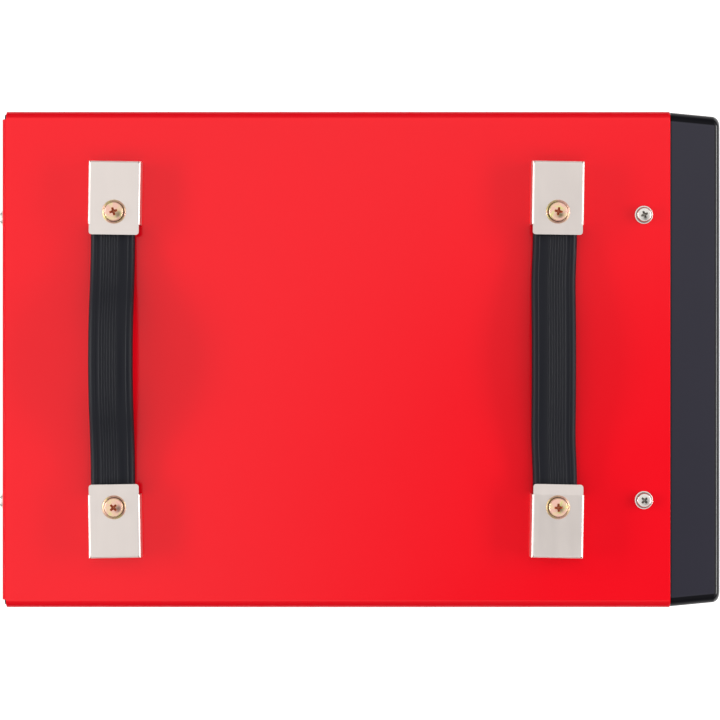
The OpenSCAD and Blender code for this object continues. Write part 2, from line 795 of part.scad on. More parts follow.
module fan_rotor() {
    hub_x = x_inside + 3;
    hub_l = fan_depth - 11;
    hub_wall = 2.4;
    tip_flat = sqrt(fan_tip_r * fan_tip_r - 144);
    color(black) translate([hub_x, 0, fan_z]) {
        rotate([90, 0, 90]) rotate_extrude() difference() {
            square([fan_hub_r, hub_l]);
            translate([fan_shaft_r, hub_wall]) square([fan_hub_r - hub_wall - fan_shaft_r, hub_l]);
        }
        for (i = [0 : fan_blades - 1]) rotate([i * 360 / fan_blades, 0, 0])
            translate([hub_l / 2, 0, 0]) fan_blade(fan_hub_r - 1.6, tip_flat);
    }
}

module fan_guard() {
    wire_r = 0.9;
    spoke_r = 1.1;
    rings = 5;
    ring_x = x_panel - 5;
    spoke_x = ring_x + 0.7;
    outer = fan_bore_r - 3;
    eye_out = fan_hole_out * sqrt(2);
    color(steel) {
        for (i = [1 : rings]) translate([ring_x, 0, fan_z]) rotate([0, 90, 0])
            rotate_extrude() translate([outer * i / rings, 0]) circle(wire_r, $fn = 24);
        for (a = [45, 135, 225, 315]) translate([0, 0, fan_z]) rotate([a, 0, 0]) {
            translate([spoke_x, 0, outer / rings])
                cylinder(r = spoke_r, h = eye_out - outer / rings - m4_r - 1);
            translate([x_panel - eye_h, 0, eye_out]) difference() {
                rod_x(m4_r + 2.6, eye_h);
                translate([-deep, 0, 0]) rod_x(m4_hole_r, eye_h + 2 * deep);
            }
        }
    }
}

module fan_screws() {
    color(steel) each_fan_corner(x_panel - eye_h) rotate([0, -90, 0])
        pan_screw(m4_r * 1.9, 2.6, m4_r, eye_h + sheet + 12);
}

// ---------------------------------------------------------------- rear fittings

inlet_body = [32.5, 24.5];
inlet_open = [26, 18.5];
inlet_flange = [52, 28];
inlet_screw_out = 20.5;
inlet_depth = 30;
pin_size = [2, 8];

module mains_inlet() {
    floor_t = 4;
    flange_t = 2.5;
    color(black) translate([0, inlet_y, inlet_z]) difference() {
        union() {
            along_x(x_panel - flange_t, flange_t) round_rect(inlet_flange[0], inlet_flange[1], 4);
            along_x(x_panel - 0.1, inlet_depth) round_rect(inlet_body[0], inlet_body[1], 2);
        }
        along_x(x_panel - flange_t - deep, inlet_depth + deep - floor_t + flange_t) difference() {
            round_rect(inlet_open[0], inlet_open[1], 1.5);
            for (s = [-1, 1]) translate([s * inlet_open[0] / 2, -inlet_open[1] / 2]) rotate(45)
                square(4, center = true);
        }
        for (s = [-1, 1]) translate([x_panel - flange_t - deep, s * inlet_screw_out, 0])
            rod_x(pilot_r, flange_t + 2 * deep);
        for (p = pin_places())
            translate([x_panel, p[0] - pin_size[0] / 2 - 0.1, p[1] - pin_size[1] / 2 - 0.1])
            cube([inlet_depth + deep, pin_size[0] + 0.2, pin_size[1] + 0.2]);
    }
}

function pin_places() = [[-7, -2], [7, -2], [0, 3.4]];

module inlet_pins() {
    color(brass) translate([x_panel + 4, inlet_y, inlet_z]) for (p = pin_places())
        translate([0, p[0] - pin_size[0] / 2, p[1] - pin_size[1] / 2])
            cube([inlet_depth + 4, pin_size[0], pin_size[1]]);
}

module inlet_screws() {
    color(steel) for (s = [-1, 1]) translate([x_panel - 2.5, inlet_y + s * inlet_screw_out, inlet_z])
        rotate([0, -90, 0]) pan_screw(m3_head[0], m3_head[1], m3_r, 2.5 + sheet + 5);
}

power_open = [18, 26];
mode_open = [11, 17];
rocker_pin_r = 1.2;
rocker_flange = 2;
rocker_depth = 16;
rocker_back = 1;
rocker_rim = 3 + 2 * fit;   // how much a rocker's opening in its panel is larger than the rocker

// Frame of a rocker switch: outward is +X, the panel's face is x = 0
module rocker_frame(open_w, open_h) {
    difference() {
        union() {
            along_x(0, rocker_flange) round_rect(open_w + 7, open_h + 7, 2);
            along_x(-rocker_depth, rocker_depth + 0.1) round_rect(open_w + 3, open_h + 3, 1);
        }
        along_x(2 - rocker_depth, rocker_depth + deep) square([open_w, open_h], center = true);
        translate([-rocker_back, -open_w / 2 - 1, 0]) rod_y(rocker_pin_r + pivot_gap, open_w + 2);
    }
}

// Rocking key, its pivot at the origin, level between its two settings
module rocker_key(open_w, open_h) {
    side_gap = 0.3;
    end_x = 2.6;
    half = sqrt(pow(open_h / 2 - 0.35, 2) - end_x * end_x);
    along_y(-open_w / 2 + side_gap, open_w - 2 * side_gap) {
        polygon([[end_x, half], [1.4, 0], [end_x, -half], [-3.5, -half * 0.8], [-3.5, half * 0.8]]);
        translate([-1, 0]) circle(3.4);
    }
    translate([0, -open_w / 2 - 0.8, 0]) rod_y(rocker_pin_r, open_w + 1.6);
}

module power_switch_frame() {
    color(black) translate([x_panel, switch_y, inlet_z]) mirror([1, 0, 0])
        rocker_frame(power_open[0], power_open[1]);
}

module power_rocker() {
    color(red) translate([x_panel + rocker_back, switch_y, inlet_z]) rotate([0, rocker_tilt, 0])
        mirror([1, 0, 0]) rocker_key(power_open[0], power_open[1]);
}

module earth_stud() {
    color(brass) translate([x_panel - stud_l, earth_y, earth_z]) {
        rod_x(m6_r, stud_l - earth_nut_l);
        rod_x(earth_neck_r, stud_l + sheet + 0.1);
        translate([stud_l + sheet, 0, 0]) rotate([0, 90, 0]) cylinder(r = m6_r * hex_r, h = 4, $fn = 6);
    }
}

module earth_nuts() {
    washer_t = 1.6;
    color(brass) translate([x_panel, earth_y, earth_z]) mirror([1, 0, 0]) difference() {
        union() {
            rod_x(m6_r * 2, washer_t);
            rotate([0, 90, 0]) cylinder(r = m6_r * hex_r, h = earth_nut_l, $fn = 6);
        }
        translate([-deep, 0, 0]) rod_x(earth_neck_r + screw_gap / 2, stud_l);
    }
}

// ---------------------------------------------------------------- power parts

// Finned extrusion lying along X, fins toward the middle; side is -1 or 1
module heatsink(side) {
    fin_t = 2.2;
    step = (heatsink_h - fin_t) / (fin_count - 1);
    color(grey) mirror([0, side < 0 ? 1 : 0, 0]) along_x(x_sink, heatsink_l) {
        translate([sink_out - sink_base, z_floor]) square([sink_base, heatsink_h]);
        for (i = [0 : fin_count - 1]) translate([sink_in, z_floor + i * step])
            square([sink_out - sink_base - sink_in + 0.1, fin_t]);
    }
}

module power_modules() {
    count = 3;
    body = [34, 9, 24];
    color(black) for (s = [0, 1], i = [0 : count - 1]) mirror([0, s, 0])
        translate([x_sink + heatsink_l * (i + 0.5) / count - body[0] / 2, sink_out,
            z_floor + heatsink_h * 0.45])
            difference() {
                cube(body);
                for (x = [5, body[0] - 5]) translate([x, -deep, body[2] / 2])
                    rod_y(pilot_r, body[1] + 2 * deep);
            }
}

board_t = 1.6;
module power_board() {
    w = 2 * sink_out + 24;
    color([0.1, 0.35, 0.2]) translate([x_sink, -w / 2, z_sink]) cube([heatsink_l, w, board_t]);
}

module capacitors() {
    cap_r = 17.5;
    cap_len = 50;
    groove = 0.8;
    color([0.12, 0.14, 0.3]) for (i = [0, 1], s = [-1, 1])
        translate([x_sink + heatsink_l * (0.3 + 0.4 * i), s * 26, z_sink + board_t]) difference() {
            cylinder(r = cap_r, h = cap_len);
            translate([0, 0, 5]) rotate_extrude() translate([cap_r, 0]) circle(groove, $fn = 24);
            translate([0, 0, cap_len - 0.6]) cylinder(r = cap_r - 1.5, h = 1);
        }
}

core_leg = [28, 24];
core_window = 20;
core_yoke = 12;
core_h = 60;
module transformer_core() {
    w = core_leg[1] + 2 * core_window + 2 * core_yoke;
    color([0.2, 0.2, 0.22]) translate([x_coils, coil_y, z_floor + core_h / 2]) difference() {
        cube([core_leg[0], w, core_h], center = true);
        for (s = [-1, 1]) translate([0, s * (core_leg[1] + core_window) / 2, 0])
            cube([core_leg[0] + 2 * deep, core_window, core_h - 2 * core_yoke], center = true);
    }
}

module transformer_winding() {
    reach = core_window - 2 * soft_gap;
    h = core_h - 2 * core_yoke - 2 * soft_gap;
    color(copper) translate([x_coils, coil_y, z_floor + (core_h - h) / 2]) linear_extrude(h) difference() {
        round_rect(core_leg[0] + 2 * reach, core_leg[1] + 2 * reach, 8);
        square([core_leg[0] + 2 * soft_gap, core_leg[1] + 2 * soft_gap], center = true);
    }
}

choke_r = 30;
choke_section = 11;
wire = 1.6;
choke_z = z_floor + choke_section + soft_gap + 2 * wire + 0.2;
module choke_core() {
    color([0.25, 0.4, 0.3]) translate([x_coils, -coil_y, choke_z])
        rotate_extrude() translate([choke_r, 0]) circle(choke_section);
}

module choke_winding() {
    turns = 18;
    loop_r = choke_section + soft_gap + wire;
    color(copper) translate([x_coils, -coil_y, choke_z]) for (i = [0 : turns - 1])
        rotate(i * 360 / turns) translate([choke_r, 0, 0]) rotate([90, 0, 0])
            rotate_extrude() translate([loop_r, 0]) circle(wire, $fn = 16);
}

// Copper strip from a socket's stud back over the coils; side is -1 or 1
module busbar(side) {
    bar_w = 25;
    bar_t = 3;
    x_end = x_coils - 10;
    color(copper) translate([0, side * socket_out, socket_z]) difference() {
        union() {
            translate([x_insert_end - bar_t, -bar_w / 2, -bar_w / 2]) cube([bar_t, bar_w, bar_w]);
            translate([x_end, -bar_w / 2, bar_w / 2 - bar_t]) cube([x_insert_end - x_end, bar_w, bar_t]);
        }
        translate([x_insert_end - bar_t - deep, 0, 0]) rod_x(5 + screw_gap, bar_t + 2 * deep);
        translate([x_end + 10, 0, 0]) cylinder(r = 4.2, h = bar_w);
    }
}

// ---------------------------------------------------------------- controls

module control_panel() {
    color([0.16, 0.16, 0.17]) difference() {
        along_x(x_ledge, panel_t) difference() {
            translate([0, z_mid]) round_rect(panel_w, panel_h, bezel_r);
            translate([meter_y, meter_z])
                square([meter_w - meter_rim + 2 * fit, meter_h - meter_rim + 2 * fit], center = true);
            translate([mode_y, mode_z])
                square([mode_open[0] + rocker_rim, mode_open[1] + rocker_rim], center = true);
            for (row = [0 : 3], column = [-1.5 : 1 : 1.5])
                translate([column * 48, z_mid - 24 - row * 10]) round_rect(40, 5, 2.4);
        }
        for (y = lens_y) translate([x_ledge - deep, y, meter_z])
            rod_x(lens_r + screw_gap, panel_t + 2 * deep);
        for (s = [-1, 1]) {
            translate([x_ledge - deep, s * knob_out, knob_z])
                rod_x(pot_shaft_r + screw_gap, panel_t + 2 * deep);
            translate([x_ledge - deep, s * socket_out, socket_z])
                rod_x(barrel_r + screw_gap, panel_t + 2 * deep);
            for (t = [-1, 1]) translate([x_ledge - deep, s * panel_screw_y, z_mid + t * panel_screw_z])
                rod_x(pilot_r, panel_t + 2 * deep);
        }
    }
}

module panel_screws() {
    color(steel) for (s = [-1, 1], t = [-1, 1])
        translate([x_face, s * panel_screw_y, z_mid + t * panel_screw_z]) rotate([0, 90, 0])
            pan_screw(m3_head[0], m3_head[1], m3_r, panel_t + ledge_t + 3);
}

module control_board() {
    w = 2 * knob_out + 60;
    z0 = knob_z - 26;
    z1 = board_post_z + 6;
    color([0.1, 0.35, 0.2]) translate([x_board - board_t, -w / 2, z0]) cube([board_t, w, z1 - z0]);
}

module board_standoffs() {
    out = knob_out + 26;
    color(brass) for (s = [-1, 1], z = [knob_z - 20, board_post_z])
        translate([x_board, s * out, z]) rotate([0, 90, 0]) cylinder(r = 4, h = board_gap, $fn = 6);
}

module potentiometers() {
    body_l = 10;
    color(grey) for (s = [-1, 1]) translate([0, s * knob_out, knob_z]) {
        translate([x_ledge - body_l, 0, 0]) rod_x(12, body_l);
        translate([x_ledge - 0.1, 0, 0]) rod_x(pot_shaft_r, panel_t + pot_reach);
    }
}

// Fluted knob on a potentiometer's shaft, with a pointer groove upward
module knob(y) {
    flutes = 18;
    skirt_t = 3;
    taper = 1.2;
    edge = 1.2;
    color(black) translate([x_face + knob_gap, y, knob_z]) difference() {
        rotate([0, 90, 0]) rotate_extrude() polygon([
            [0, 0], [knob_r + 3, 0], [knob_r + 3, skirt_t - 1], [knob_r + 2, skirt_t],
            [knob_r, skirt_t], [knob_r - taper, knob_l - edge], [knob_r - taper - edge, knob_l], [0, knob_l]
        ]);
        for (i = [0 : flutes - 1]) rotate([i * 360 / flutes + 10, 0, 0])
            translate([skirt_t + 0.5, 0, knob_r + 0.3]) rod_x(1.2, knob_l);
        translate([knob_l - 0.8, -0.7, knob_r * 0.35]) cube([deep, 1.4, knob_r]);
        translate([-deep, 0, 0]) rod_x(pot_shaft_r + pivot_gap, pot_reach + deep);
    }
}

module meter_frame() {
    body_l = 16;
    pocket = 3.2;
    color(black) translate([0, meter_y, meter_z]) difference() {
        union() {
            along_x(x_face, meter_proud - 1) round_rect(meter_w, meter_h, 3);
            along_x(x_face, meter_proud) round_rect(meter_w - 3, meter_h - 3, 2);
            along_x(x_ledge + panel_t - body_l, body_l + 0.1)
                square([meter_w - meter_rim, meter_h - meter_rim], center = true);
        }
        along_x(x_face + meter_proud - pocket, pocket + deep) square([window_w, window_h], center = true);
    }
}

module meter_window() {
    window_t = 2;
    color([0.25, 0.02, 0.03]) along_x(x_face + meter_proud - 3.2, window_t)
        translate([meter_y, meter_z]) square([window_w - fit, window_h - fit], center = true);
}

module indicator_lenses() {
    color([0.9, 0.6, 0.1]) for (y = lens_y) translate([x_face, y, meter_z]) {
        rod_x(lens_r + 1.5, 1.5);
        translate([-panel_t - 6, 0, 0]) rod_x(lens_r, panel_t + 6.1);
        intersection() {
            translate([1.4, 0, 0]) sphere(lens_r);
            rod_x(lens_r, 2 * lens_r);
        }
    }
}

module mode_switch_frame() {
    color(black) translate([x_face, mode_y, mode_z]) rocker_frame(mode_open[0], mode_open[1]);
}

module mode_rocker() {
    color([0.2, 0.2, 0.21]) translate([x_face - rocker_back, mode_y, mode_z])
        rotate([0, -rocker_tilt, 0]) rocker_key(mode_open[0], mode_open[1]);
}

// ---------------------------------------------------------------- output sockets

module socket_shells() {
    flange_r = 23;
    flange_t = 4;
    barrel_l = 18;
    color(black) for (s = [-1, 1]) translate([x_face, s * socket_out, socket_z]) difference() {
        rotate([0, 90, 0]) rotate_extrude() polygon([
            [0, -barrel_l], [barrel_r, -barrel_l], [barrel_r, 0], [flange_r, 0], [flange_r, flange_t - 1.5],
            [flange_r - 1.5, flange_t], [shell_r, flange_t], [shell_r, shell_proud - 1.2],
            [shell_r - 1.2, shell_proud], [0, shell_proud]
        ]);
        translate([-barrel_l - deep, 0, 0]) rod_x(insert_r + screw_gap, barrel_l + shell_proud + 2 * deep);
        for (a = [0 : 45 : 315]) rotate([a, 0, 0]) translate([flange_t, 0, shell_r + 0.8])
            rod_x(1.8, shell_proud);
    }
}

module socket_inserts() {
    key_w = 5;
    color(brass) for (s = [-1, 1]) translate([x_insert_end, s * socket_out, socket_z]) {
        difference() {
            rod_x(insert_r, insert_l);
            translate([insert_l - socket_bore_l, 0, 0]) rod_x(socket_bore_r, socket_bore_l + deep);
            translate([insert_l - 14, -key_w / 2, 0]) cube([14 + deep, key_w, socket_bore_r + 2.4]);
        }
        translate([-14, 0, 0]) rod_x(5, 14.1);
    }
}

// ---------------------------------------------------------------- nodes

cover();
base_tray();
feet();
foot_screws();
front_bezel();
bezel_screws();
control_panel();
panel_screws();
rear_panel();
cover_screws_top();
cover_screws_rear();
cover_screws_side();
at_handle(0, 1) handle_cap();  // rear_cap_left
at_handle(0, -1) handle_cap();  // rear_cap_right
at_handle(1, 1) handle_cap();  // front_cap_left
at_handle(1, -1) handle_cap();  // front_cap_right
handle_screws();
handle_sleeves();
handle_nuts();
color(black) strap_middle(0, rear_rise);  // rear_strap_middle
color(black) strap_end(0, rear_rise, 1);  // rear_strap_left
color(black) strap_end(0, rear_rise, -1);  // rear_strap_right
color(black) strap_middle(1, front_rise);  // front_strap_middle
color(black) strap_end(1, front_rise, 1);  // front_strap_left
color(black) strap_end(1, front_rise, -1);  // front_strap_right
fan_frame();
fan_rotor();
fan_guard();
fan_screws();
mains_inlet();
inlet_pins();
inlet_screws();
power_switch_frame();
power_rocker();
earth_stud();
earth_nuts();
heatsink(1);  // heatsink_left
heatsink(-1);  // heatsink_right
power_modules();
power_board();
capacitors();
transformer_core();
transformer_winding();
choke_core();
choke_winding();
busbar(1);  // busbar_positive
busbar(-1);  // busbar_negative
control_board();
board_standoffs();
potentiometers();
knob(-knob_out);  // current_knob
knob(knob_out);  // arc_knob
meter_frame();
meter_window();
indicator_lenses();
mode_switch_frame();
mode_rocker();
socket_shells();
socket_inserts();
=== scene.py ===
import json
from math import acos, cos, pi, radians, sin
import bpy
import bmesh
from bpy.props import FloatProperty, FloatVectorProperty, PointerProperty
from bpy.types import Operator, Panel, PropertyGroup
from mathutils import Matrix, Vector


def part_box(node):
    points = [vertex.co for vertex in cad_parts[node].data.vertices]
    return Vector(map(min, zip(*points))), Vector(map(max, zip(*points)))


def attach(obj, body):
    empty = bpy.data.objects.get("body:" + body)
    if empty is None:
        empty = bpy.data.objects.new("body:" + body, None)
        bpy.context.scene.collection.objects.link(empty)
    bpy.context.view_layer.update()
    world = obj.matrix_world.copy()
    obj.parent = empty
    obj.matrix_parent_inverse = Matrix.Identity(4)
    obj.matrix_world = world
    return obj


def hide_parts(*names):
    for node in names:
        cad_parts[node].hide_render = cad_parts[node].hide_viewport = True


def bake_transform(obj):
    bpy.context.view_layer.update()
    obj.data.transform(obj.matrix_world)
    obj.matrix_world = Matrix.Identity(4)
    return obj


bl_info = {
    "name": "Inverter welding machine",
    "version": (1, 0, 0),
    "blender": (4, 5, 0),
    "location": "3D View > Sidebar > Welding machine",
    "description": "Builds and finishes a portable inverter welding machine on its packed frame",
    "category": "Object",
}

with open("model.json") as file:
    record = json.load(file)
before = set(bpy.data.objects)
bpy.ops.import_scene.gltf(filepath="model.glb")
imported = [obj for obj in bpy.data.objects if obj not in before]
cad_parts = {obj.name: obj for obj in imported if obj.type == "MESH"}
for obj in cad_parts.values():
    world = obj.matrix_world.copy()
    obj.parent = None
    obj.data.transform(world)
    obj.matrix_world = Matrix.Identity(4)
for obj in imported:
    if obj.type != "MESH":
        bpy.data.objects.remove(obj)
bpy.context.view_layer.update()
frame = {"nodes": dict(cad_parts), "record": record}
MM = 0.001
UPRIGHT = Matrix.Identity(4)
# From a mark's own plane, read from +Z, to one that faces the front, +X, with its top up
FRONT_WAY = Matrix(((0, 0, 1, 0), (1, 0, 0, 0), (0, 1, 0, 0), (0, 0, 0, 1)))
NODE_BODY = {n: body for body, names in frame["record"]["behaviour"]["bodies"].items() for n in names}
# Points nearer to each other than this count as one place
NEAR = 1e-6
# How far a cutting block reaches past the solid it cuts
OVERCUT = 1 * MM
# Thickness of a printed mark
PRINT = 0.06 * MM


def linear(code):
    """An sRGB hex value as the linear red, green and blue that a colour socket holds."""
    parts = [int(code[i:i + 2], 16) / 255 for i in (0, 2, 4)]
    return tuple(c / 12.92 if c <= 0.04045 else ((c + 0.055) / 1.055) ** 2.4 for c in parts)


def length(description, millimetres):
    """A length property, its default given in millimetres."""
    return FloatProperty(description=description, default=millimetres * MM, min=0.0, unit="LENGTH")


def colour(description, code):
    """A colour property, its default given as an sRGB hex value."""
    return FloatVectorProperty(
        description=description, default=linear(code), size=3, min=0.0, max=1.0, subtype="COLOR")


# ---- sizes and colours

class WelderHandleSizes(PropertyGroup):
    """Sizes of the two handles: their straps and the caps that hold them."""
    strap_thickness: length("Thickness of a strap over its beads", 7.0)
    rear_rise: length("Height of the rear strap's middle above its ends", 12.0)
    front_rise: length("Height of the front strap's middle above its ends", 5.0)
    rear_sway: length("How far the rear strap's middle leans toward the rear", 0.1)
    front_sway: length("How far the front strap's middle leans toward the rear", 1.0)
    rib_pitch: length("Distance from one moulded rib to the next", 1.58)
    rib_height: length("Height of a rib above the flat beside it", 0.3)
    rib_shift: length("How far the ribs lie off the strap's middle line", 1.4)
    groove_depth: length("Depth of the flat below the beads", 0.45)
    slot_radius: length("Half the width of the slot round the screw sleeve", 6.2)
    travel: length("How far a strap end slides in its cap", 8.4)
    bend_from: length("Where a strap starts to bend as it is lifted, from its middle", 20.0)
    bend_past: length("How far past the mouth of its cap that bend runs out", 2.5)
    cap_sheet: length("Thickness of a cap's sheet metal", 1.0)
    cap_bend: length("Outer radius of a cap's bends", 1.7)
    cap_slack: length("How much narrower a cap is than its place on each side", 0.4)
    cap_short: length("How much shorter a cap is than its place, at its far end", 0.9)
    cap_screw_in: length("Distance of the screw from the tongue's edge", 13.5)
    cap_slit: length("Width of the slit at each far corner of a cap", 0.45)
    tongue: length("Length of the tongue beyond the side flanges", 6.2)
    tongue_in: length("How much narrower the tongue is on each side", 0.7)
    tongue_corner: length("Radius of the tongue's corners", 1.7)
    tongue_sag: length("How far the one bent tongue hangs down", 0.6)
    dish_depth: length("Depth of the dished seat under the screw", 0.9)
    dish_radius: length("Radius of the dish where it meets the flat", 7.25)
    dish_gap: length("Width of the dish's floor left open round the screw", 0.35)
    head_radius: length("Radius of a handle screw's head", 5.65)
    head_height: length("Height of a handle screw's head", 4.0)
    recess_span: length("Width over a handle screw's cross recess", 5.2)
    recess_arm: length("Width of one arm of that recess", 1.35)
    shank_radius: length("Radius of a handle screw's shank", 3.0)
    shank_length: length("Length of a handle screw's shank", 18.0)


class WelderCaseSizes(PropertyGroup):
    """Sizes of the case's mouldings and its fasteners."""
    bezel_corner: length("Radius of the bezel's long corners", 7.0)
    bezel_draw: length("How far each side draws in between the seam and the front", 2.5)
    bezel_spread: length("How much the moulding's sides stand out past its frame", 0.35)
    bezel_back: length("How far the front rim stays behind its frame", 0.1)
    rim_round: length("Rounding of the bezel's front rim", 4.0)
    rim_width: length("Width of the bezel's front rim", 11.0)
    recess_slope: length("How far the well in front of the panel draws in", 3.0)
    ledge_width: length("Width of the ledge that carries the control panel", 8.0)
    ledge_in: length("Distance of the ledge's face in front of the seam", 4.0)
    wall: length("Wall thickness of the moulding", 3.0)
    seam_gap: length("Shadow gap between the cover's edge and the bezel", 0.6)
    sheet: length("Thickness of the cover's sheet steel", 1.2)
    skirt_overlap: length("How far the skirt's top reaches into the cover's inner face", 0.3)
    edge_soft: length("Rounding left on cut sheet and moulded edges", 0.25)
    seam_soft: length("Rounding of the enamel over the cover's front edge", 0.5)


class WelderColours(PropertyGroup):
    """Colours of the finishes."""
    enamel: colour("Gloss red enamel of the cover", "ED081B")
    bezel: colour("Moulded front surround", "22202D")
    panel: colour("Control panel face", "1D1D20")
    powder_black: colour("Black powder coat of the tray and the rear panel", "17181A")
    strap: colour("Handle straps", "11121A")
    nickel: colour("Plated handle caps", "ECE2DC")
    zinc_gold: colour("Yellow-passivated screws, their gold patches", "EED3AA")
    zinc_pink: colour("Yellow-passivated screws, their pink patches", "F2C3B2")
    zinc_green: colour("Yellow-passivated screws, their green patches", "E0DA92")
    steel: colour("Bright zinc screws and nuts", "EEE9E2")
    knob: colour("Knobs", "141416")
    rocker: colour("Mains rocker", "B3101A")
    lens: colour("Indicator lenses", "E08A1E")
    digits: colour("Unlit segments behind the meter window", "6E3A3C")


class WelderScrewSizes(PropertyGroup):
    """Sizes of the case's screws."""
    top_radius: length("Radius of a top screw's collar", 5.4)
    top_height: length("Height of a top screw's head", 3.6)
    collar: length("Width of the flat collar round a top screw's head", 1.0)
    side_radius: length("Radius of a side or rear screw's head", 4.6)
    side_height: length("Height of a side or rear screw's head", 3.3)
    top_span: length("Width over a top screw's cross recess", 4.6)
    top_arm: length("Width of one arm of that recess", 1.2)
    top_length: length("Length of a top screw's shank", 12.0)
    side_span: length("Width over a side or rear screw's cross recess", 4.2)
    side_arm: length("Width of one arm of that recess", 1.05)
    side_length: length("Length of a side or rear screw's shank", 8.0)
    shank_radius: length("Radius of these screws' shanks", 2.5)


# ---- materials

def add(tree, kind, inputs=None, **settings):
    """Adds a shader node with its settings; an input takes a value, a socket or a node's first output."""
    made = tree.nodes.new("ShaderNode" + kind)
    for key, value in settings.items():
        setattr(made, key, value)
    for key, value in (inputs or {}).items():
        if isinstance(value, bpy.types.Node):
            value = value.outputs[0]
        if isinstance(value, bpy.types.NodeSocket):
            tree.links.new(value, made.inputs[key])
        else:
            made.inputs[key].default_value = value
    return made


def shaded(rgb, share):
    """A colour made darker or lighter by a share of itself."""
    return tuple(min(1.0, c * share) for c in rgb[:3]) + (1.0,)


def finish(name, shades, blotch, rough, grain, depth, detail=3.0, stretch=(1, 1, 1), **sockets):
    """Makes a material. Its colour wanders between two shades over the blotch size, its roughness between
    two values, and its surface carries a grain of a size and depth; those sizes are in millimetres."""
    mat = bpy.data.materials.new(name)
    mat.use_nodes = True
    tree = mat.node_tree
    shader = tree.nodes["Principled BSDF"]
    for key, value in sockets.items():
        shader.inputs[key.replace("_", " ")].default_value = value
    place = add(tree, "TexCoord").outputs["Object"]
    lie = add(tree, "Mapping", {"Vector": place, "Scale": stretch})
    cloud = add(tree, "TexNoise", {"Vector": lie, "Scale": 1000 / blotch, "Detail": 3.0})
    tint = add(tree, "Mix", {0: cloud, 6: shades[0], 7: shades[1]}, data_type="RGBA")
    tree.links.new(tint.outputs[2], shader.inputs["Base Color"])
    fleck = add(tree, "TexNoise", {"Vector": lie, "Scale": 1000 / grain, "Detail": detail})
    gloss = add(tree, "MapRange", {
        "Value": cloud, "From Min": 0.3, "From Max": 0.7, "To Min": rough[0], "To Max": rough[1]})
    tree.links.new(gloss.outputs[0], shader.inputs["Roughness"])
    bump = add(tree, "Bump", {"Height": fleck, "Distance": depth * MM, "Strength": 1.0})
    tree.links.new(bump.outputs[0], shader.inputs["Normal"])
    return mat


def plain(rgb, name, *surface, share=(0.92, 1.06), **sockets):
    """A finish of one colour, linear or an sRGB hex value, that wanders between two shares of itself."""
    if isinstance(rgb, str):
        rgb = linear(rgb)
    return finish(name, (shaded(rgb, share[0]), shaded(rgb, share[1])), *surface, **sockets)


def deepened(mat, rgb, share):
    """Paints shade over a finish's roundings as a deeper tint of its colour. Returns its tree and shader, the
    sizes of the normal's three parts, and the node that is 1 on the flats and 0 on the roundings."""
    tree = mat.node_tree
    shader = tree.nodes["Principled BSDF"]
    size = add(tree, "VectorMath", {0: tree.nodes["Texture Coordinate"].outputs["Normal"]},
               operation="ABSOLUTE")
    parts = add(tree, "SeparateXYZ", {0: size})
    most = add(tree, "Math", {0: parts, 1: parts.outputs[1]}, operation="MAXIMUM")
    most = add(tree, "Math", {0: most, 1: parts.outputs[2]}, operation="MAXIMUM")
    flat = add(tree, "MapRange", {
        "Value": most, "From Min": 0.972, "From Max": 0.992}, interpolation_type="SMOOTHSTEP")
    tint = shader.inputs["Base Color"].links[0].from_socket
    # Painted shade: on the roundings the base colour gives way to a darker share of itself
    painted_shade = add(tree, "Mix", {0: flat, 6: shaded(rgb, share), 7: tint}, data_type="RGBA")
    tree.links.new(painted_shade.outputs[2], shader.inputs["Base Color"])
    return tree, shader, parts, flat


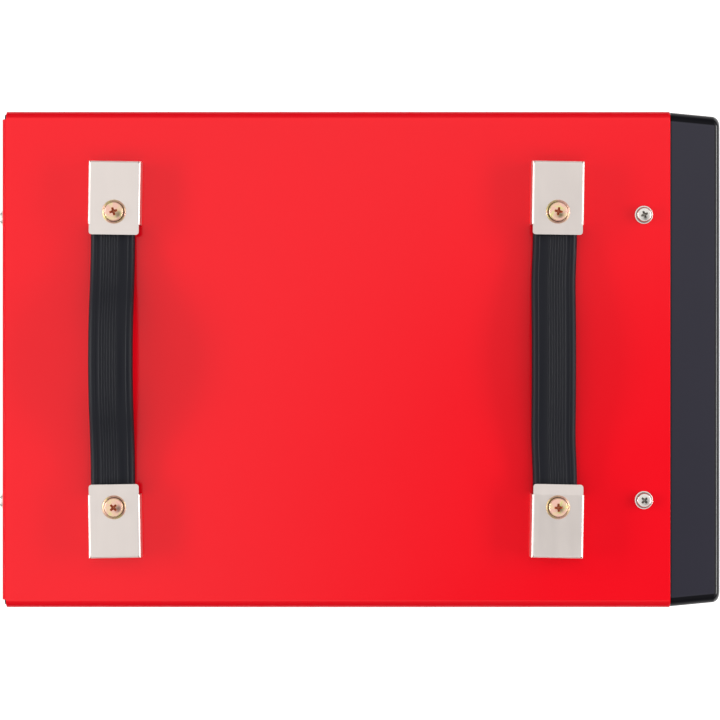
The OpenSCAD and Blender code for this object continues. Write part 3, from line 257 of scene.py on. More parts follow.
def make_finishes():
    """Makes every finish once, under the name of its slot in the record. After a finish's colour and name
    come its blotches' size, its two roughnesses, and the size and depth of its grain, in millimetres."""
    c = bpy.context.scene.welder_colours
    made = {}
    # Gloss stoved enamel on sheet steel: an even red with a slow orange peel that softens reflections;
    # over each bend a painted shade, a deeper red, and a weaker reflection
    enamel = plain(
        c.enamel, "gloss_enamel_on_steel", 90, (0.10, 0.16), 3.2, 0.006, share=(0.975, 1.02), detail=1.0,
        IOR=1.4)
    tree, shader, parts, flat = deepened(enamel, c.enamel, 0.84)
    sheen = add(tree, "MapRange", {"Value": flat, "To Min": 0.12, "To Max": 0.5})
    tree.links.new(sheen.outputs[0], shader.inputs["Specular IOR Level"])
    made["painted_cover"] = enamel
    # Powder-coated steel, black: a fine pebbled skin that breaks every highlight up
    made["black_steel"] = plain(c.powder_black, "black_powder_coat", 40, (0.38, 0.5), 0.9, 0.05)
    # Moulded nitrile rubber: dull, with a dusty bloom
    made["foot_rubber"] = plain("1B1B1C", "moulded_rubber", 8, (0.7, 0.85), 0.7, 0.05, share=(0.85, 1.3))
    # Spark-eroded ABS moulding, charcoal with a cold cast
    abs_skin = plain(
        c.bezel, "moulded_abs", 30, (0.27, 0.33), 0.45, 0.012, share=(0.94, 1.06), Specular_IOR_Level=0.4)
    # Painted shade: its roundings go far deeper black than the flats and reflect less; the rim is polished
    tree, shader, parts, flat = deepened(abs_skin, c.bezel, 0.15)
    rim = add(tree, "MapRange", {
        "Value": parts, "From Min": 0.12, "From Max": 0.3}, interpolation_type="SMOOTHSTEP")
    rough = add(tree, "MapRange", {"Value": rim, "To Min": 0.3, "To Max": 0.16})
    tree.links.new(rough.outputs[0], shader.inputs["Roughness"])
    keen = add(tree, "Math", {0: flat, 1: rim}, operation="MAXIMUM")
    keen = add(tree, "MapRange", {"Value": keen, "To Min": 0.1, "To Max": 0.42})
    tree.links.new(keen.outputs[0], shader.inputs["Specular IOR Level"])
    made["bezel_plastic"] = abs_skin
    # Screen-coated polycarbonate sheet over aluminium: satin, even
    made["panel_face"] = plain(c.panel, "satin_panel", 25, (0.34, 0.42), 0.4, 0.012, share=(0.95, 1.05))
    # Bright zinc on rolled steel screws: fine turned rings of gloss and grey
    made["screw_steel"] = plain(
        c.steel, "bright_zinc", 2.5, (0.2, 0.34), 0.35, 0.01, share=(0.86, 1.05), Metallic=1.0)
    # Nickel-plated rolled strip: warm white, with faint lengthwise rolling and handling smudges
    made["nickel_cap"] = plain(
        c.nickel, "nickel_plate", 9, (0.38, 0.44), 0.5, 0.004, share=(0.96, 1.02),
        stretch=(1, 0.25, 1), Metallic=1.0)
    # Yellow-passivated zinc: gold with pink and green patches where the film's thickness changes
    zinc = plain(
        c.zinc_gold, "yellow_passivated_zinc", 4, (0.18, 0.28), 0.4, 0.006, share=(0.95, 1.05), Metallic=1.0)
    tree = zinc.node_tree
    place = tree.nodes["Texture Coordinate"].outputs["Object"]
    film = add(tree, "TexNoise", {
        "Vector": place, "Scale": 210.0, "Detail": 2.0, "Distortion": 0.6})
    ramp = add(tree, "ValToRGB", {"Fac": film})
    stops = ramp.color_ramp.elements
    stops[0].position, stops[0].color = 0.32, (*c.zinc_green, 1.0)
    stops[1].position, stops[1].color = 0.58, (*c.zinc_pink, 1.0)
    stops.new(0.44).color = (*c.zinc_gold, 1.0)
    tree.links.new(ramp.outputs[0], tree.nodes["Principled BSDF"].inputs["Base Color"])
    made["zinc_screw"] = zinc
    # The same film gathered and browned in a driver recess, darkened further with painted shade
    made["zinc_recess_shade"] = plain("C9744C", "gathered_passivation_and_shade", 2, (0.4, 0.55), 0.4, 0.01, Metallic=0.3)
    # Painted shade: bright zinc made darker grey in a driver recess and in the groove round a dome
    made["steel_recess_shade"] = plain("A8A29A", "shaded_zinc_recess", 2, (0.35, 0.5), 0.4, 0.01, Metallic=0.8)
    # Painted shade: the narrow floor round a screw's head, near-black for the shadow in the gap
    made["seat_shade"] = plain("1E1613", "shaded_seat", 3, (0.5, 0.6), 0.5, 0.01)
    # Zinc-plated steel of sleeves and nuts: dull, even grey
    made["plain_steel"] = plain("A9ABAD", "dull_zinc", 4, (0.3, 0.45), 0.5, 0.01, Metallic=1.0)
    # Extruded soft vinyl: a low even sheen, with fine draw lines along the strap
    made["strap_vinyl"] = plain(
        c.strap, "extruded_vinyl", 14, (0.38, 0.48), 0.5, 0.02, share=(0.9, 1.12),
        stretch=(1, 0.12, 1), Specular_IOR_Level=0.2)
    # Glass-filled nylon of the fan: dull grey-black
    made["fan_plastic"] = plain("161719", "glass_filled_nylon", 12, (0.45, 0.58), 0.6, 0.03)
    # Chromed welded wire: bright, nearly a mirror
    made["guard_wire"] = plain("C4C6C8", "chromed_wire", 6, (0.15, 0.25), 0.6, 0.005, Metallic=1.0)
    # Moulded nylon of the fittings: plain black with a soft sheen
    made["fitting_plastic"] = plain("121315", "fitting_nylon", 10, (0.3, 0.4), 0.5, 0.012)
    # Moulded nylon of the rockers: the mains one a glossy signal red, the other satin grey
    made["rocker_red"] = plain(c.rocker, "gloss_rocker", 9, (0.18, 0.26), 1.2, 0.004)
    made["rocker_grey"] = plain("34353A", "satin_rocker", 9, (0.3, 0.38), 0.6, 0.01)
    # Turned brass: warm, with fine tool rings and a little tarnish
    made["contact_brass"] = plain(
        "C9A14E", "turned_brass", 3, (0.22, 0.38), 0.4, 0.01, share=(0.78, 1.08), Metallic=1.0)
    # Extruded aluminium, bare: die lines along its length
    made["heatsink_alloy"] = plain(
        "B9BBBE", "extruded_aluminium", 5, (0.32, 0.45), 0.6, 0.02, share=(0.85, 1.05),
        stretch=(0.06, 1, 1), Metallic=1.0)
    # Moulded epoxy of the power modules: matt, faintly mottled black
    made["module_epoxy"] = plain("1A1A1B", "moulded_epoxy", 6, (0.5, 0.62), 0.4, 0.02)
    # Solder-masked glass board: green with copper showing faintly through the mask
    made["circuit_board"] = plain("14502C", "solder_mask", 3.5, (0.25, 0.4), 1.4, 0.03, share=(0.7, 1.35))
    # Heat-shrunk vinyl sleeve: dark blue with a tight sheen
    made["capacitor_sleeve"] = plain("1C2A4A", "shrink_sleeve", 8, (0.25, 0.35), 1.5, 0.02)
    # Sintered ferrite: dead grey, like fired clay
    made["ferrite"] = plain("26272A", "sintered_ferrite", 3, (0.5, 0.65), 0.5, 0.03, share=(0.8, 1.2))
    # Epoxy-coated iron powder: dull green
    made["powder_core"] = plain("3E6B4C", "coated_powder_core", 6, (0.45, 0.55), 0.6, 0.03)
    # Enamelled winding wire and bare busbar copper: warm, dulled unevenly by handling
    made["copper"] = plain("B4673A", "copper", 4, (0.25, 0.4), 0.8, 0.02, share=(0.8, 1.1), Metallic=1.0)
    # Pressed zinc-plated case of a potentiometer: soft grey metal
    made["potentiometer_case"] = plain("8E9094", "pressed_zinc_case", 4, (0.3, 0.45), 0.6, 0.01, Metallic=1.0)
    # Moulded phenolic of the knobs: black with a low polish
    made["knob_plastic"] = plain(c.knob, "knob_phenolic", 9, (0.26, 0.36), 0.5, 0.012)
    # Smoked red acrylic: deep and nearly black, with a clear reflection
    made["meter_window"] = plain("2A0507", "smoked_acrylic", 20, (0.04, 0.08), 6, 0.002, IOR=1.49)
    # Cast amber polycarbonate: light sinks in a little and comes back warm
    made["lens_amber"] = plain(
        c.lens, "amber_polycarbonate", 3, (0.08, 0.14), 2, 0.004, share=(0.85, 1.1),
        Transmission_Weight=0.35, IOR=1.58)
    # Screen-printed ink of the scale marks: flat off-white
    made["print_white"] = plain("D8D9DA", "printed_white", 5, (0.45, 0.55), 0.4, 0.004)
    # Unlit display segments, pale behind the smoked window
    made["unlit_digits"] = plain(c.digits, "unlit_segments", 5, (0.3, 0.4), 0.8, 0.004)
    return made


COATS = {}


def coat(slot):
    """The finish of a slot; the first call makes them all."""
    if not COATS:
        COATS.update(make_finishes())
    return COATS[slot]


# ---- making pieces

def piece(name, bm, slot, body="case", stands_for=(), sharp=32.0):
    """Makes a finished object of a bmesh, in its place on the machine, riding on a body of the frame."""
    mesh = bpy.data.meshes.new(name)
    bm.to_mesh(mesh)
    bm.free()
    mesh.shade_smooth()
    mesh.set_sharp_from_angle(angle=radians(sharp))
    mesh.materials.append(coat(slot))
    made = bpy.data.objects.new(name, mesh)
    bpy.context.scene.collection.objects.link(made)
    if body:
        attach(made, body)
    if stands_for:
        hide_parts(*stands_for)
    return made


def copy_of(node, flat=0.6):
    """A merged copy of a frame node's mesh, with its flat faces made whole."""
    bm = bmesh.new()
    bm.from_mesh(frame["nodes"][node].data)
    bmesh.ops.remove_doubles(bm, verts=bm.verts, dist=2e-6)
    bmesh.ops.dissolve_limit(bm, angle_limit=radians(flat), verts=bm.verts, edges=bm.edges)
    return bm


def level(made, weight=50):
    """Weights an object's normals by area, so that flat faces stay flat beside small roundings."""
    mod = made.modifiers.new("level", "WEIGHTED_NORMAL")
    mod.keep_sharp = True
    mod.weight = weight
    return made


def dress(node, slot, soft=0.0, sharp=32.0):
    """A merged and smoothed copy of a frame node in its finish, its sharp edges rounded by soft."""
    made = piece(node + "_dressed", copy_of(node), slot, NODE_BODY[node], (node,), sharp)
    if soft:
        mod = made.modifiers.new("soften", "BEVEL")
        mod.width = soft
        mod.segments = 2
        mod.limit_method = "ANGLE"
        mod.angle_limit = radians(38)
        mod.use_clamp_overlap = True
    return level(made)


def dress_all(finishes, soft=0.0, crisp=()):
    """Dresses several frame nodes, each given with its finish; all but the crisp ones get rounded edges."""
    for node, slot in finishes.items():
        dress(node, slot, 0.0 if node in crisp else soft)


def coated(node, slot):
    """Leaves a frame node showing, in a finish of its own."""
    materials = frame["nodes"][node].data.materials
    materials.clear()
    materials.append(coat(slot))


def lathe(profile, steps=48):
    """Turns a profile of (radius, height) points about Z."""
    bm = bmesh.new()
    points = [bm.verts.new((r, 0.0, z)) for r, z in profile]
    edges = [bm.edges.new(pair) for pair in zip(points, points[1:])]
    bmesh.ops.spin(
        bm, geom=points + edges, cent=(0, 0, 0), axis=(0, 0, 1), angle=2 * pi, steps=steps, use_merge=True)
    bmesh.ops.remove_doubles(bm, verts=bm.verts, dist=NEAR)
    bmesh.ops.recalc_face_normals(bm, faces=bm.faces)
    return bm


def block(low, high):
    """A box between two corners."""
    bm = bmesh.new()
    low, high = Vector(low), Vector(high)
    bmesh.ops.create_cube(bm, size=1.0)
    bmesh.ops.scale(bm, vec=high - low, verts=bm.verts)
    bmesh.ops.translate(bm, vec=(low + high) / 2, verts=bm.verts)
    return bm


def round_edges(bm, edges, radius, segments=3):
    """Rounds edges of a bmesh."""
    bmesh.ops.bevel(
        bm, geom=list(edges), offset=radius, offset_type="OFFSET", segments=segments, profile=0.5,
        affect="EDGES", material=-1, clamp_overlap=True)


def along(bm, axis):
    """The edges of a block that run along an axis, 0 to 2."""
    return [e for e in bm.edges if abs(e.verts[0].co[axis] - e.verts[1].co[axis]) > NEAR]


def lying_at(edges, axis, place):
    """Those edges that lie at a place on an axis, 0 to 2."""
    return [e for e in edges if all(abs(v.co[axis] - place) < NEAR for v in e.verts)]


def joined(parts):
    """One bmesh of several, each given with the matrix that places it."""
    whole = bmesh.new()
    for source, matrix in parts:
        mesh = bpy.data.meshes.new("part")
        source.to_mesh(mesh)
        mesh.transform(matrix)
        whole.from_mesh(mesh)
        bpy.data.meshes.remove(mesh)
    for source in {id(s): s for s, m in parts}.values():
        source.free()
    return whole


def carved(solid, tool, operation="DIFFERENCE"):
    """The solid less the tool, or what another boolean operation leaves of the two."""
    bodies = []
    for bm in (solid, tool):
        mesh = bpy.data.meshes.new("carving")
        bm.to_mesh(mesh)
        bm.free()
        body = bpy.data.objects.new("carving", mesh)
        bpy.context.scene.collection.objects.link(body)
        bodies.append(body)
    mod = bodies[0].modifiers.new("carve", "BOOLEAN")
    mod.object = bodies[1]
    mod.operation = operation
    mod.solver = "EXACT"
    mod.use_self = True
    bpy.context.view_layer.update()
    result = bmesh.new()
    result.from_object(bodies[0], bpy.context.evaluated_depsgraph_get())
    for body in bodies:
        mesh = body.data
        bpy.data.objects.remove(body)
        bpy.data.meshes.remove(mesh)
    return result


def cross_tool(span, arm, top, bottom):
    """A cross recess's tool: a plus that narrows as it goes down."""
    a, b, c = arm / 2, span / 2, arm * 0.62
    quarter = [(b, -a), (b, a), (c, c)]
    bm = bmesh.new()
    ring = []
    for turn in range(4):
        for x, y in quarter:
            for _ in range(turn):
                x, y = -y, x
            ring.append(bm.verts.new((x, y, bottom)))
    base = bm.faces.new(ring)
    grown = bmesh.ops.extrude_face_region(bm, geom=[base] + list(base.edges))["geom"]
    upper = [g for g in grown if isinstance(g, bmesh.types.BMVert)]
    bmesh.ops.translate(bm, vec=(0, 0, top - bottom), verts=upper)
    lower = [v for v in bm.verts if v.co.z < (top + bottom) / 2]
    bmesh.ops.scale(bm, vec=(0.45, 0.45, 1.0), verts=lower)
    bmesh.ops.recalc_face_normals(bm, faces=bm.faces)
    return bm


def pan_head(radius, height, span, arm, collar=0.0, flat=0.64, droop=0.08):
    """A pan head on the plane z = 0 with a cross recess, standing on a flat collar when it has one. Flat is
    the share of its radius inside the rounding, and droop how far its top falls away toward the rim. The
    recess and the groove round the dome take the object's second material, which paints the shade in them."""
    dome = radius - collar
    foot = radius * 0.13 if collar else 0.0
    side = foot + (height - foot) * 0.3
    brow = height * (1 - droop * flat * flat)
    profile = [(dome * flat * k, height * (1 - droop * (flat * k) ** 2)) for k in (0.0, 0.25, 0.5, 0.75, 1.0)]
    profile += [
        (dome * (flat + (1 - flat) * sin(radians(a))), side + (brow - side) * cos(radians(a)))
        for a in (15, 30, 45, 60, 75, 90)
    ]
    profile.append((dome, foot))
    if collar:
        profile += [
            (dome + collar * 0.1, foot), (dome + collar * 0.25, foot * 1.2),
            (radius - collar * 0.3, foot * 1.2), (radius - collar * 0.1, foot * 1.05), (radius, foot * 0.6)]
    profile += [(radius, 0.0), (0.0, 0.0)]
    head = carved(lathe(profile, 64), cross_tool(span, arm, height * 1.05, height * 0.4))
    # Faces of the recess and of the groove round the dome take the painted shade
    for face in head.faces:
        middle = face.calc_center_median()
        in_cross = middle.xy.length < span * 0.52 and 1e-5 < middle.z < height * 0.9
        in_groove = collar and dome * 0.93 < middle.xy.length < dome + collar * 0.2 and middle.z > foot * 0.9
        if in_cross or in_groove:
            face.material_index = 1
    return head


def screw(radius, height, shank_radius, shank_length, span, arm, **head):
    """A cross-recessed screw, its head above z = 0 and its shank below."""
    shank = lathe([
        (0.0, -0.05 * MM), (shank_radius, -0.05 * MM), (shank_radius, -shank_length + shank_radius * 0.3),
        (shank_radius * 0.7, -shank_length), (0.0, -shank_length)], 20)
    return joined([(pan_head(radius, height, span, arm, **head), UPRIGHT), (shank, UPRIGHT)])


def looking(direction):
    """The turn that carries +Z onto a direction."""
    return Vector(direction).to_track_quat("Z", "Y").to_matrix().to_4x4()


def fasteners(node, slot, one, places, recess="steel_recess_shade"):
    """One object of like screws in place of a frame node; a place is the point under the head, the way
    the head looks and its turn."""
    parts = [(one, Matrix.Translation(p) @ looking(way) @ Matrix.Rotation(radians(turn), 4, "Z"))
             for p, way, turn in places]
    made = piece(node + "_set", joined(parts), slot, "case", (node,))
    # The second material paints the shade in the recesses and grooves
    made.data.materials.append(coat(recess))


def solids(node):
    """The boxes of the separate solids of a frame node, each as its low and its high corner."""
    bm = copy_of(node)
    left = set(bm.verts)
    boxes = []
    while left:
        heap = [left.pop()]
        found = []
        while heap:
            vert = heap.pop()
            found.append(vert.co.copy())
            for edge in vert.link_edges:
                other = edge.other_vert(vert)
                if other in left:
                    left.remove(other)
                    heap.append(other)
        boxes.append(tuple(Vector([pick(c[i] for c in found) for i in range(3)]) for pick in (min, max)))
    bm.free()
    return sorted(boxes, key=lambda pair: tuple(pair[0]))


def seats(node, axis, way, head):
    """The points under the heads of a node's screws; the heads look along an axis, 0 to 2, by way's sign."""
    made = []
    for low, high in solids(node):
        point = (low + high) / 2
        point[axis] = high[axis] - head if way > 0 else low[axis] + head
        made.append(point)
    return made


# ---- case

def outline(bm, x, centre):
    """The edges of the end face at x that lie on its outer outline."""
    found = []
    for edge in lying_at(bm.edges, 0, x):
        out = (edge.verts[0].co + edge.verts[1].co) / 2 - centre
        out.x = 0.0
        if any(abs(f.normal.x) < 0.5 and f.normal.dot(out) > 0 for f in edge.link_faces):
            found.append(edge)
    return found


class WELDER_OT_case(Operator):
    """The folded cover, the tray, the feet and the rear panel"""
    bl_idname = "welder.case"
    bl_label = "Case"

    def execute(self, context):
        sizes = context.scene.welder_case
        low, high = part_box("cover")
        bm = copy_of("cover")
        round_edges(bm, outline(bm, high.x, (low + high) / 2), sizes.seam_soft, 3)
        level(piece("cover_dressed", bm, "painted_cover", "case", ("cover",)))
        dress("base_tray", "black_steel", sizes.edge_soft)
        dress("rear_panel", "black_steel", sizes.edge_soft)
        dress("feet", "foot_rubber", sizes.edge_soft * 2)
        return {"FINISHED"}


def drawn_in(bm, x, amount, centre):
    """Draws the face of a box at x in toward the centre line, by the same amount on every side."""
    for vert in bm.verts:
        if abs(vert.co.x - x) < NEAR:
            vert.co.y -= amount if vert.co.y > centre.y else -amount
            vert.co.z -= amount if vert.co.z > centre.z else -amount
    return bm


def tapered(low, high, draw, corner, grow=0.0, segments=6):
    """A box with rounded long corners that draws in toward its front."""
    low, high = Vector(low), Vector(high)
    wide = Vector((0, grow, grow))
    bm = drawn_in(block(low - wide, high + wide), high.x, draw, (low + high) / 2)
    round_edges(bm, along(bm, 0), corner + grow, segments)
    return bm


class WELDER_OT_bezel(Operator):
    """The moulded front surround: its shell, the well in front of the panel, the ledge and the skirt"""
    bl_idname = "welder.bezel"
    bl_label = "Front bezel"

    def execute(self, context):
        sizes = context.scene.welder_case
        low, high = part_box("front_bezel")
        low.y -= sizes.bezel_spread
        high.y += sizes.bezel_spread
        high.x -= sizes.bezel_back
        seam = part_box("cover")[1].x
        moulding = [
            (self.surround(sizes, low, high, seam), UPRIGHT), (self.skirt(sizes, low, high, seam), UPRIGHT)]
        level(piece("bezel_moulding", joined(moulding), "bezel_plastic", "case", ("front_bezel",)))
        return {"FINISHED"}

    def surround(self, sizes, low, high, seam):
        """The hollow surround from the seam to its rounded front rim, with the panel's well and ledge."""
        wall, corner = sizes.wall, sizes.bezel_corner
        start = Vector((seam + sizes.seam_gap, low.y, low.z))
        shell = tapered(start, high, sizes.bezel_draw, corner)
        round_edges(shell, lying_at(shell.edges, 0, high.x), sizes.rim_round, 6)
        well = sizes.bezel_draw + sizes.rim_width + sizes.recess_slope
        ledge = seam + sizes.ledge_in
        inset = Vector((0, well, well))
        well_low = Vector((ledge, low.y, low.z)) + inset
        well_high = high - inset + Vector((2 * OVERCUT, 0, 0))
        hollow_low, hollow_high = start + Vector((-OVERCUT, wall, wall)), high - Vector((wall, wall, wall))
        hollow = carved(
            tapered(hollow_low, hollow_high, sizes.bezel_draw, corner - wall),
            tapered(well_low - Vector((wall, 0, 0)), well_high, -sizes.recess_slope, corner, wall))
        shell = carved(shell, hollow)
        shell = carved(shell, tapered(well_low, well_high, -sizes.recess_slope, corner))
        lip = sizes.ledge_width
        shell = carved(shell, tapered(
            (start.x - 2 * OVERCUT, well_low.y + lip, well_low.z + lip),
            (ledge + OVERCUT, well_high.y - lip, well_high.z - lip), 0.0, corner))
        bmesh.ops.dissolve_limit(shell, angle_limit=radians(0.5), verts=shell.verts, edges=shell.edges)
        mouth = [e for e in lying_at(shell.edges, 0, high.x)
                 if any(abs(f.normal.x) < 0.5 for f in e.link_faces)]
        round_edges(shell, mouth, sizes.edge_soft * 3, 3)
        return shell

    def skirt(self, sizes, low, high, seam):
        """The collar that reaches back inside the cover."""
        wall = sizes.wall
        inner_low, inner_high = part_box("rear_panel")
        start = Vector((low.x, inner_low.y, inner_low.z))
        end = Vector((seam + wall, inner_high.y, high.z - sizes.sheet + sizes.skirt_overlap))
        return carved(
            tapered(start, end, 0.0, sizes.bezel_corner - sizes.sheet),
            tapered(start + Vector((-OVERCUT, wall, wall)), end - Vector((-OVERCUT, wall, wall)), 0.0, MM))


class WELDER_OT_case_screws(Operator):
    """The screws of the cover, the bezel and the feet"""
    bl_idname = "welder.case_screws"
    bl_label = "Case screws"

    def execute(self, context):
        sizes = context.scene.welder_screws
        up, back = (0, 0, 1), (-1, 0, 0)
        one = screw(sizes.top_radius, sizes.top_height, sizes.shank_radius, sizes.top_length, sizes.top_span,
                    sizes.top_arm, collar=sizes.collar, flat=0.8, droop=0.15)
        fasteners("cover_screws_top", "screw_steel", one, [
            (p, up, turn) for p, turn in zip(seats("cover_screws_top", 2, 1, sizes.top_height), (45, 22))])
        fasteners("cover_screws_rear", "screw_steel", self.side_screw(sizes), [
            (p, back, 20 + 25 * i)
            for i, p in enumerate(seats("cover_screws_rear", 0, -1, sizes.side_height))])
        fasteners("cover_screws_side", "screw_steel", self.side_screw(sizes), [
            (p, (0, side, 0), 17 * i) for side in (1, -1)
            for i, p in enumerate(seats("cover_screws_side", 1, side, sizes.side_height)) if p.y * side > 0])
        for node in ("foot_screws", "bezel_screws"):
            coated(node, "screw_steel")
        return {"FINISHED"}

    def side_screw(self, sizes):
        """One screw of the sides or the rear."""
        return screw(sizes.side_radius, sizes.side_height, sizes.shank_radius, sizes.side_length,
                     sizes.side_span, sizes.side_arm)


# ---- handles

def handle_place(end, side):
    """Where a handle's screw goes through the cover's top, from the box of the cap it holds."""
    low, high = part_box(f"{end}_cap_{'left' if side > 0 else 'right'}")
    mouth = low.y if side > 0 else high.y
    return Vector(((low.x + high.x) / 2, mouth + side * bpy.context.scene.welder_handles.cap_screw_in, low.z))


def strap_outline(sizes, width, shift):
    """One face across a strap: round flanks that stand as beads over a flat with ribs along its middle."""
    top = sizes.strap_thickness / 2
    edge = top - 0.05 * MM
    half = width / 2 - edge
    flat = top - sizes.groove_depth
    right = [(half + edge * cos(radians(a)), edge * sin(radians(a))) for a in range(-90, 91, 12)]
    # Inside its round flank each bead falls to the flat over 0.8 mm
    right += [
        (half - 0.25 * MM, top - 0.06 * MM), (half - 0.5 * MM, flat + 0.12 * MM), (half - 0.8 * MM, flat)]
    # A rib's section: millimetres from its middle, and the share of its height
    rib = ((0.6, 0.0), (0.42, 0.6), (0.2, 0.95), (0.0, 1.0), (-0.2, 0.95), (-0.42, 0.6), (-0.6, 0.0))
    ribs = []
    for i in range(7):
        y = (3 - i) * sizes.rib_pitch + shift
        ribs += [(y + dy * MM, flat + z * sizes.rib_height) for dy, z in rib]
    left = [(-x, z) for x, z in reversed(right)]
    bm = bmesh.new()
    ring = [bm.verts.new((x, 0.0, z)) for x, z in right + ribs + left]
    bm.faces.new(ring)
    return bm


def eased(t):
    """A share from 0 to 1 that starts and stops gently."""
    t = min(1.0, max(0.0, t))
    return t * t * (3 - 2 * t)


def strap_stations(rise, mouth, tip):
    """Places along half a strap, from the middle out: up over the crown, down the haunch, then flat."""
    radius = ((mouth / 2) ** 2 + (rise / 2) ** 2) / rise
    angle = acos(1 - rise / 2 / radius)
    steps = 22
    crown = [angle * i / steps for i in range(steps + 1)]
    places = [(radius * sin(a), rise - radius * (1 - cos(a)), a) for a in crown]
    reach = 2 * radius * sin(angle)
    places += [(reach - radius * sin(a), radius * (1 - cos(a)), a) for a in reversed(crown[:-1])]
    places += [(reach + (tip - reach) * k, 0.0, 0.0) for k in (0.25, 0.5, 0.75, 1.0)]
    return places


def strap_half(sizes, end, place):
    """Half a strap on the left of the machine, from its middle to its slotted tip."""
    low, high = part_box(f"{end}_strap_left")
    x, base = (low.x + high.x) / 2, low.z + sizes.strap_thickness / 2
    mouth = place.y - sizes.cap_screw_in
    sway = getattr(sizes, end + "_sway")
    shift = sizes.rib_shift * (-1 if end == "rear" else 1)
    bm = strap_outline(sizes, high.x - low.x, shift)
    frames = []
    for y, z, a in strap_stations(getattr(sizes, end + "_rise"), mouth - 0.5 * MM, high.y):
        lean = sway * eased((mouth - y) / (0.45 * mouth))
        frames.append(Matrix.Translation((x - lean, y, base + z)) @ Matrix.Rotation(-a, 4, "X"))
    bmesh.ops.transform(bm, matrix=frames[0], verts=bm.verts)
    face = bm.faces[:][0]
    for before, after in zip(frames, frames[1:]):
        grown = bmesh.ops.extrude_face_region(bm, geom=[face] + list(face.edges))["geom"]
        moved = [g for g in grown if isinstance(g, bmesh.types.BMVert)]
        bmesh.ops.transform(bm, matrix=after @ before.inverted(), verts=moved)
        face = next(g for g in grown if isinstance(g, bmesh.types.BMFace))
    bmesh.ops.recalc_face_normals(bm, faces=bm.faces)
    slot_r = sizes.slot_radius
    tool = block((x - slot_r, place.y - slot_r, base - 9 * MM),
                 (x + slot_r, place.y + sizes.travel + slot_r, base + 9 * MM))
    round_edges(tool, along(tool, 2), slot_r * 0.999, 10)
    return carved(bm, tool)


class WELDER_OT_straps(Operator):
    """The two ribbed vinyl straps, each in two halves"""
    bl_idname = "welder.straps"
    bl_label = "Handle straps"

    def execute(self, context):
        sizes = context.scene.welder_handles
        for end in ("rear", "front"):
            for side, word in ((1, "left"), (-1, "right")):
                place = handle_place(end, 1)
                bm = strap_half(sizes, end, place)
                if side < 0:
                    mirrored(bm)
                nodes = [f"{end}_strap_{word}"] + ([f"{end}_strap_middle"] if side > 0 else [])
                made = piece(f"{end}_strap_{word}_half", bm, "strap_vinyl", None, nodes, 50)
                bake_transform(made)
        return {"FINISHED"}


def mirrored(bm):
    """Turns a left-hand piece into its right-hand twin."""
    bmesh.ops.scale(bm, vec=(1, -1, 1), verts=bm.verts)
    bmesh.ops.reverse_faces(bm, faces=bm.faces)


# How far each cap, and the cross of each handle screw, is turned, in degrees; side 1 is the left
CAP_TURN = {("rear", 1): -0.8, ("rear", -1): 0.9, ("front", 1): -0.9, ("front", -1): -1.1}
SCREW_TURN = {("rear", 1): 16, ("rear", -1): 45, ("front", 1): -10, ("front", -1): 2}


def folded(low, high, radius, segments):
    """A block whose top is folded down along both sides and at the far end, toward +Y."""
    low, high = Vector(low), Vector(high)
    across = block(low, high + Vector((0, 2 * OVERCUT, 0)))
    round_edges(across, lying_at(along(across, 1), 2, high.z), radius, segments)
    ahead = block(low - Vector((2, 1, 1)) * OVERCUT, high + Vector((2 * OVERCUT, 0, NEAR)))
    far_edge = lying_at(lying_at(ahead.edges, 1, high.y), 2, high.z + NEAR)
    round_edges(ahead, far_edge, radius, segments)
    return carved(across, ahead, "INTERSECT")


def cap_tongue(sizes, half, near, mouth, high, sag):
    """The flat tongue of a cap, from its free edge at near to the mouth, with rounded corners; sag is how far
    its free edge hangs down."""
    tongue = block((-half, near, high - sizes.cap_sheet), (half, mouth + 0.01 * MM, high))
    round_edges(tongue, lying_at(along(tongue, 2), 1, near), sizes.tongue_corner, 5)
    for vert in tongue.verts:
        vert.co.z -= sag * max(0.0, mouth - vert.co.y) / sizes.tongue
    return tongue


def dish_tool(sizes, high):
    """What the dished screw seat takes out of a cap's top."""
    depth, lip = sizes.dish_depth, sizes.dish_radius
    floor_r = sizes.head_radius + sizes.dish_gap
    slope = lip - floor_r
    return lathe([
        (0.0, high - depth), (floor_r, high - depth), (floor_r + slope * 0.2, high - depth * 0.8),
        (floor_r + slope * 0.5, high - depth * 0.4), (floor_r + slope * 0.75, high - depth * 0.12),
        (floor_r + slope * 0.92, high - depth * 0.02), (lip, high + 0.01 * MM),
        (lip, high + OVERCUT), (0.0, high + OVERCUT)], 64)


def cap_shell(sizes, size, sag):
    """A folded cap, its screw at the origin, its mouth toward -Y: flanges on three sides, a flat tongue over
    the strap and a dished seat for the screw, whose floor takes the second material, a painted shade."""
    t, bend = sizes.cap_sheet, sizes.cap_bend
    half, high = size.x / 2 - sizes.cap_slack, size.z
    near, far = -sizes.cap_screw_in, size.y - sizes.cap_screw_in - sizes.cap_short
    mouth = near + sizes.tongue
    shell = carved(
        folded((-half, mouth, 0), (half, far, high), bend, 6),
        folded((-half + t, mouth - 2 * OVERCUT, -OVERCUT), (half - t, far - t, high - t), bend - t, 3))
    slit, web = sizes.cap_slit, bend - 0.3 * MM
    for side in (1, -1):
        ends = sorted((side * (half - web), side * (half - web + slit)))
        shell = carved(shell, block(
            (ends[0], far - web, -2 * OVERCUT), (ends[1], far + 3 * OVERCUT, high + OVERCUT)))
    shell = carved(shell, dish_tool(sizes, high))
    # The dish's floor takes the second material, which paints the shade round the screw's head
    for face in shell.faces:
        if abs(face.calc_center_median().z - high + sizes.dish_depth) < 1e-5 and face.normal.z > 0.9:
            face.material_index = 1
    tongue = cap_tongue(sizes, half - sizes.tongue_in, near, mouth, high, sag)
    return joined([(shell, UPRIGHT), (tongue, UPRIGHT)])


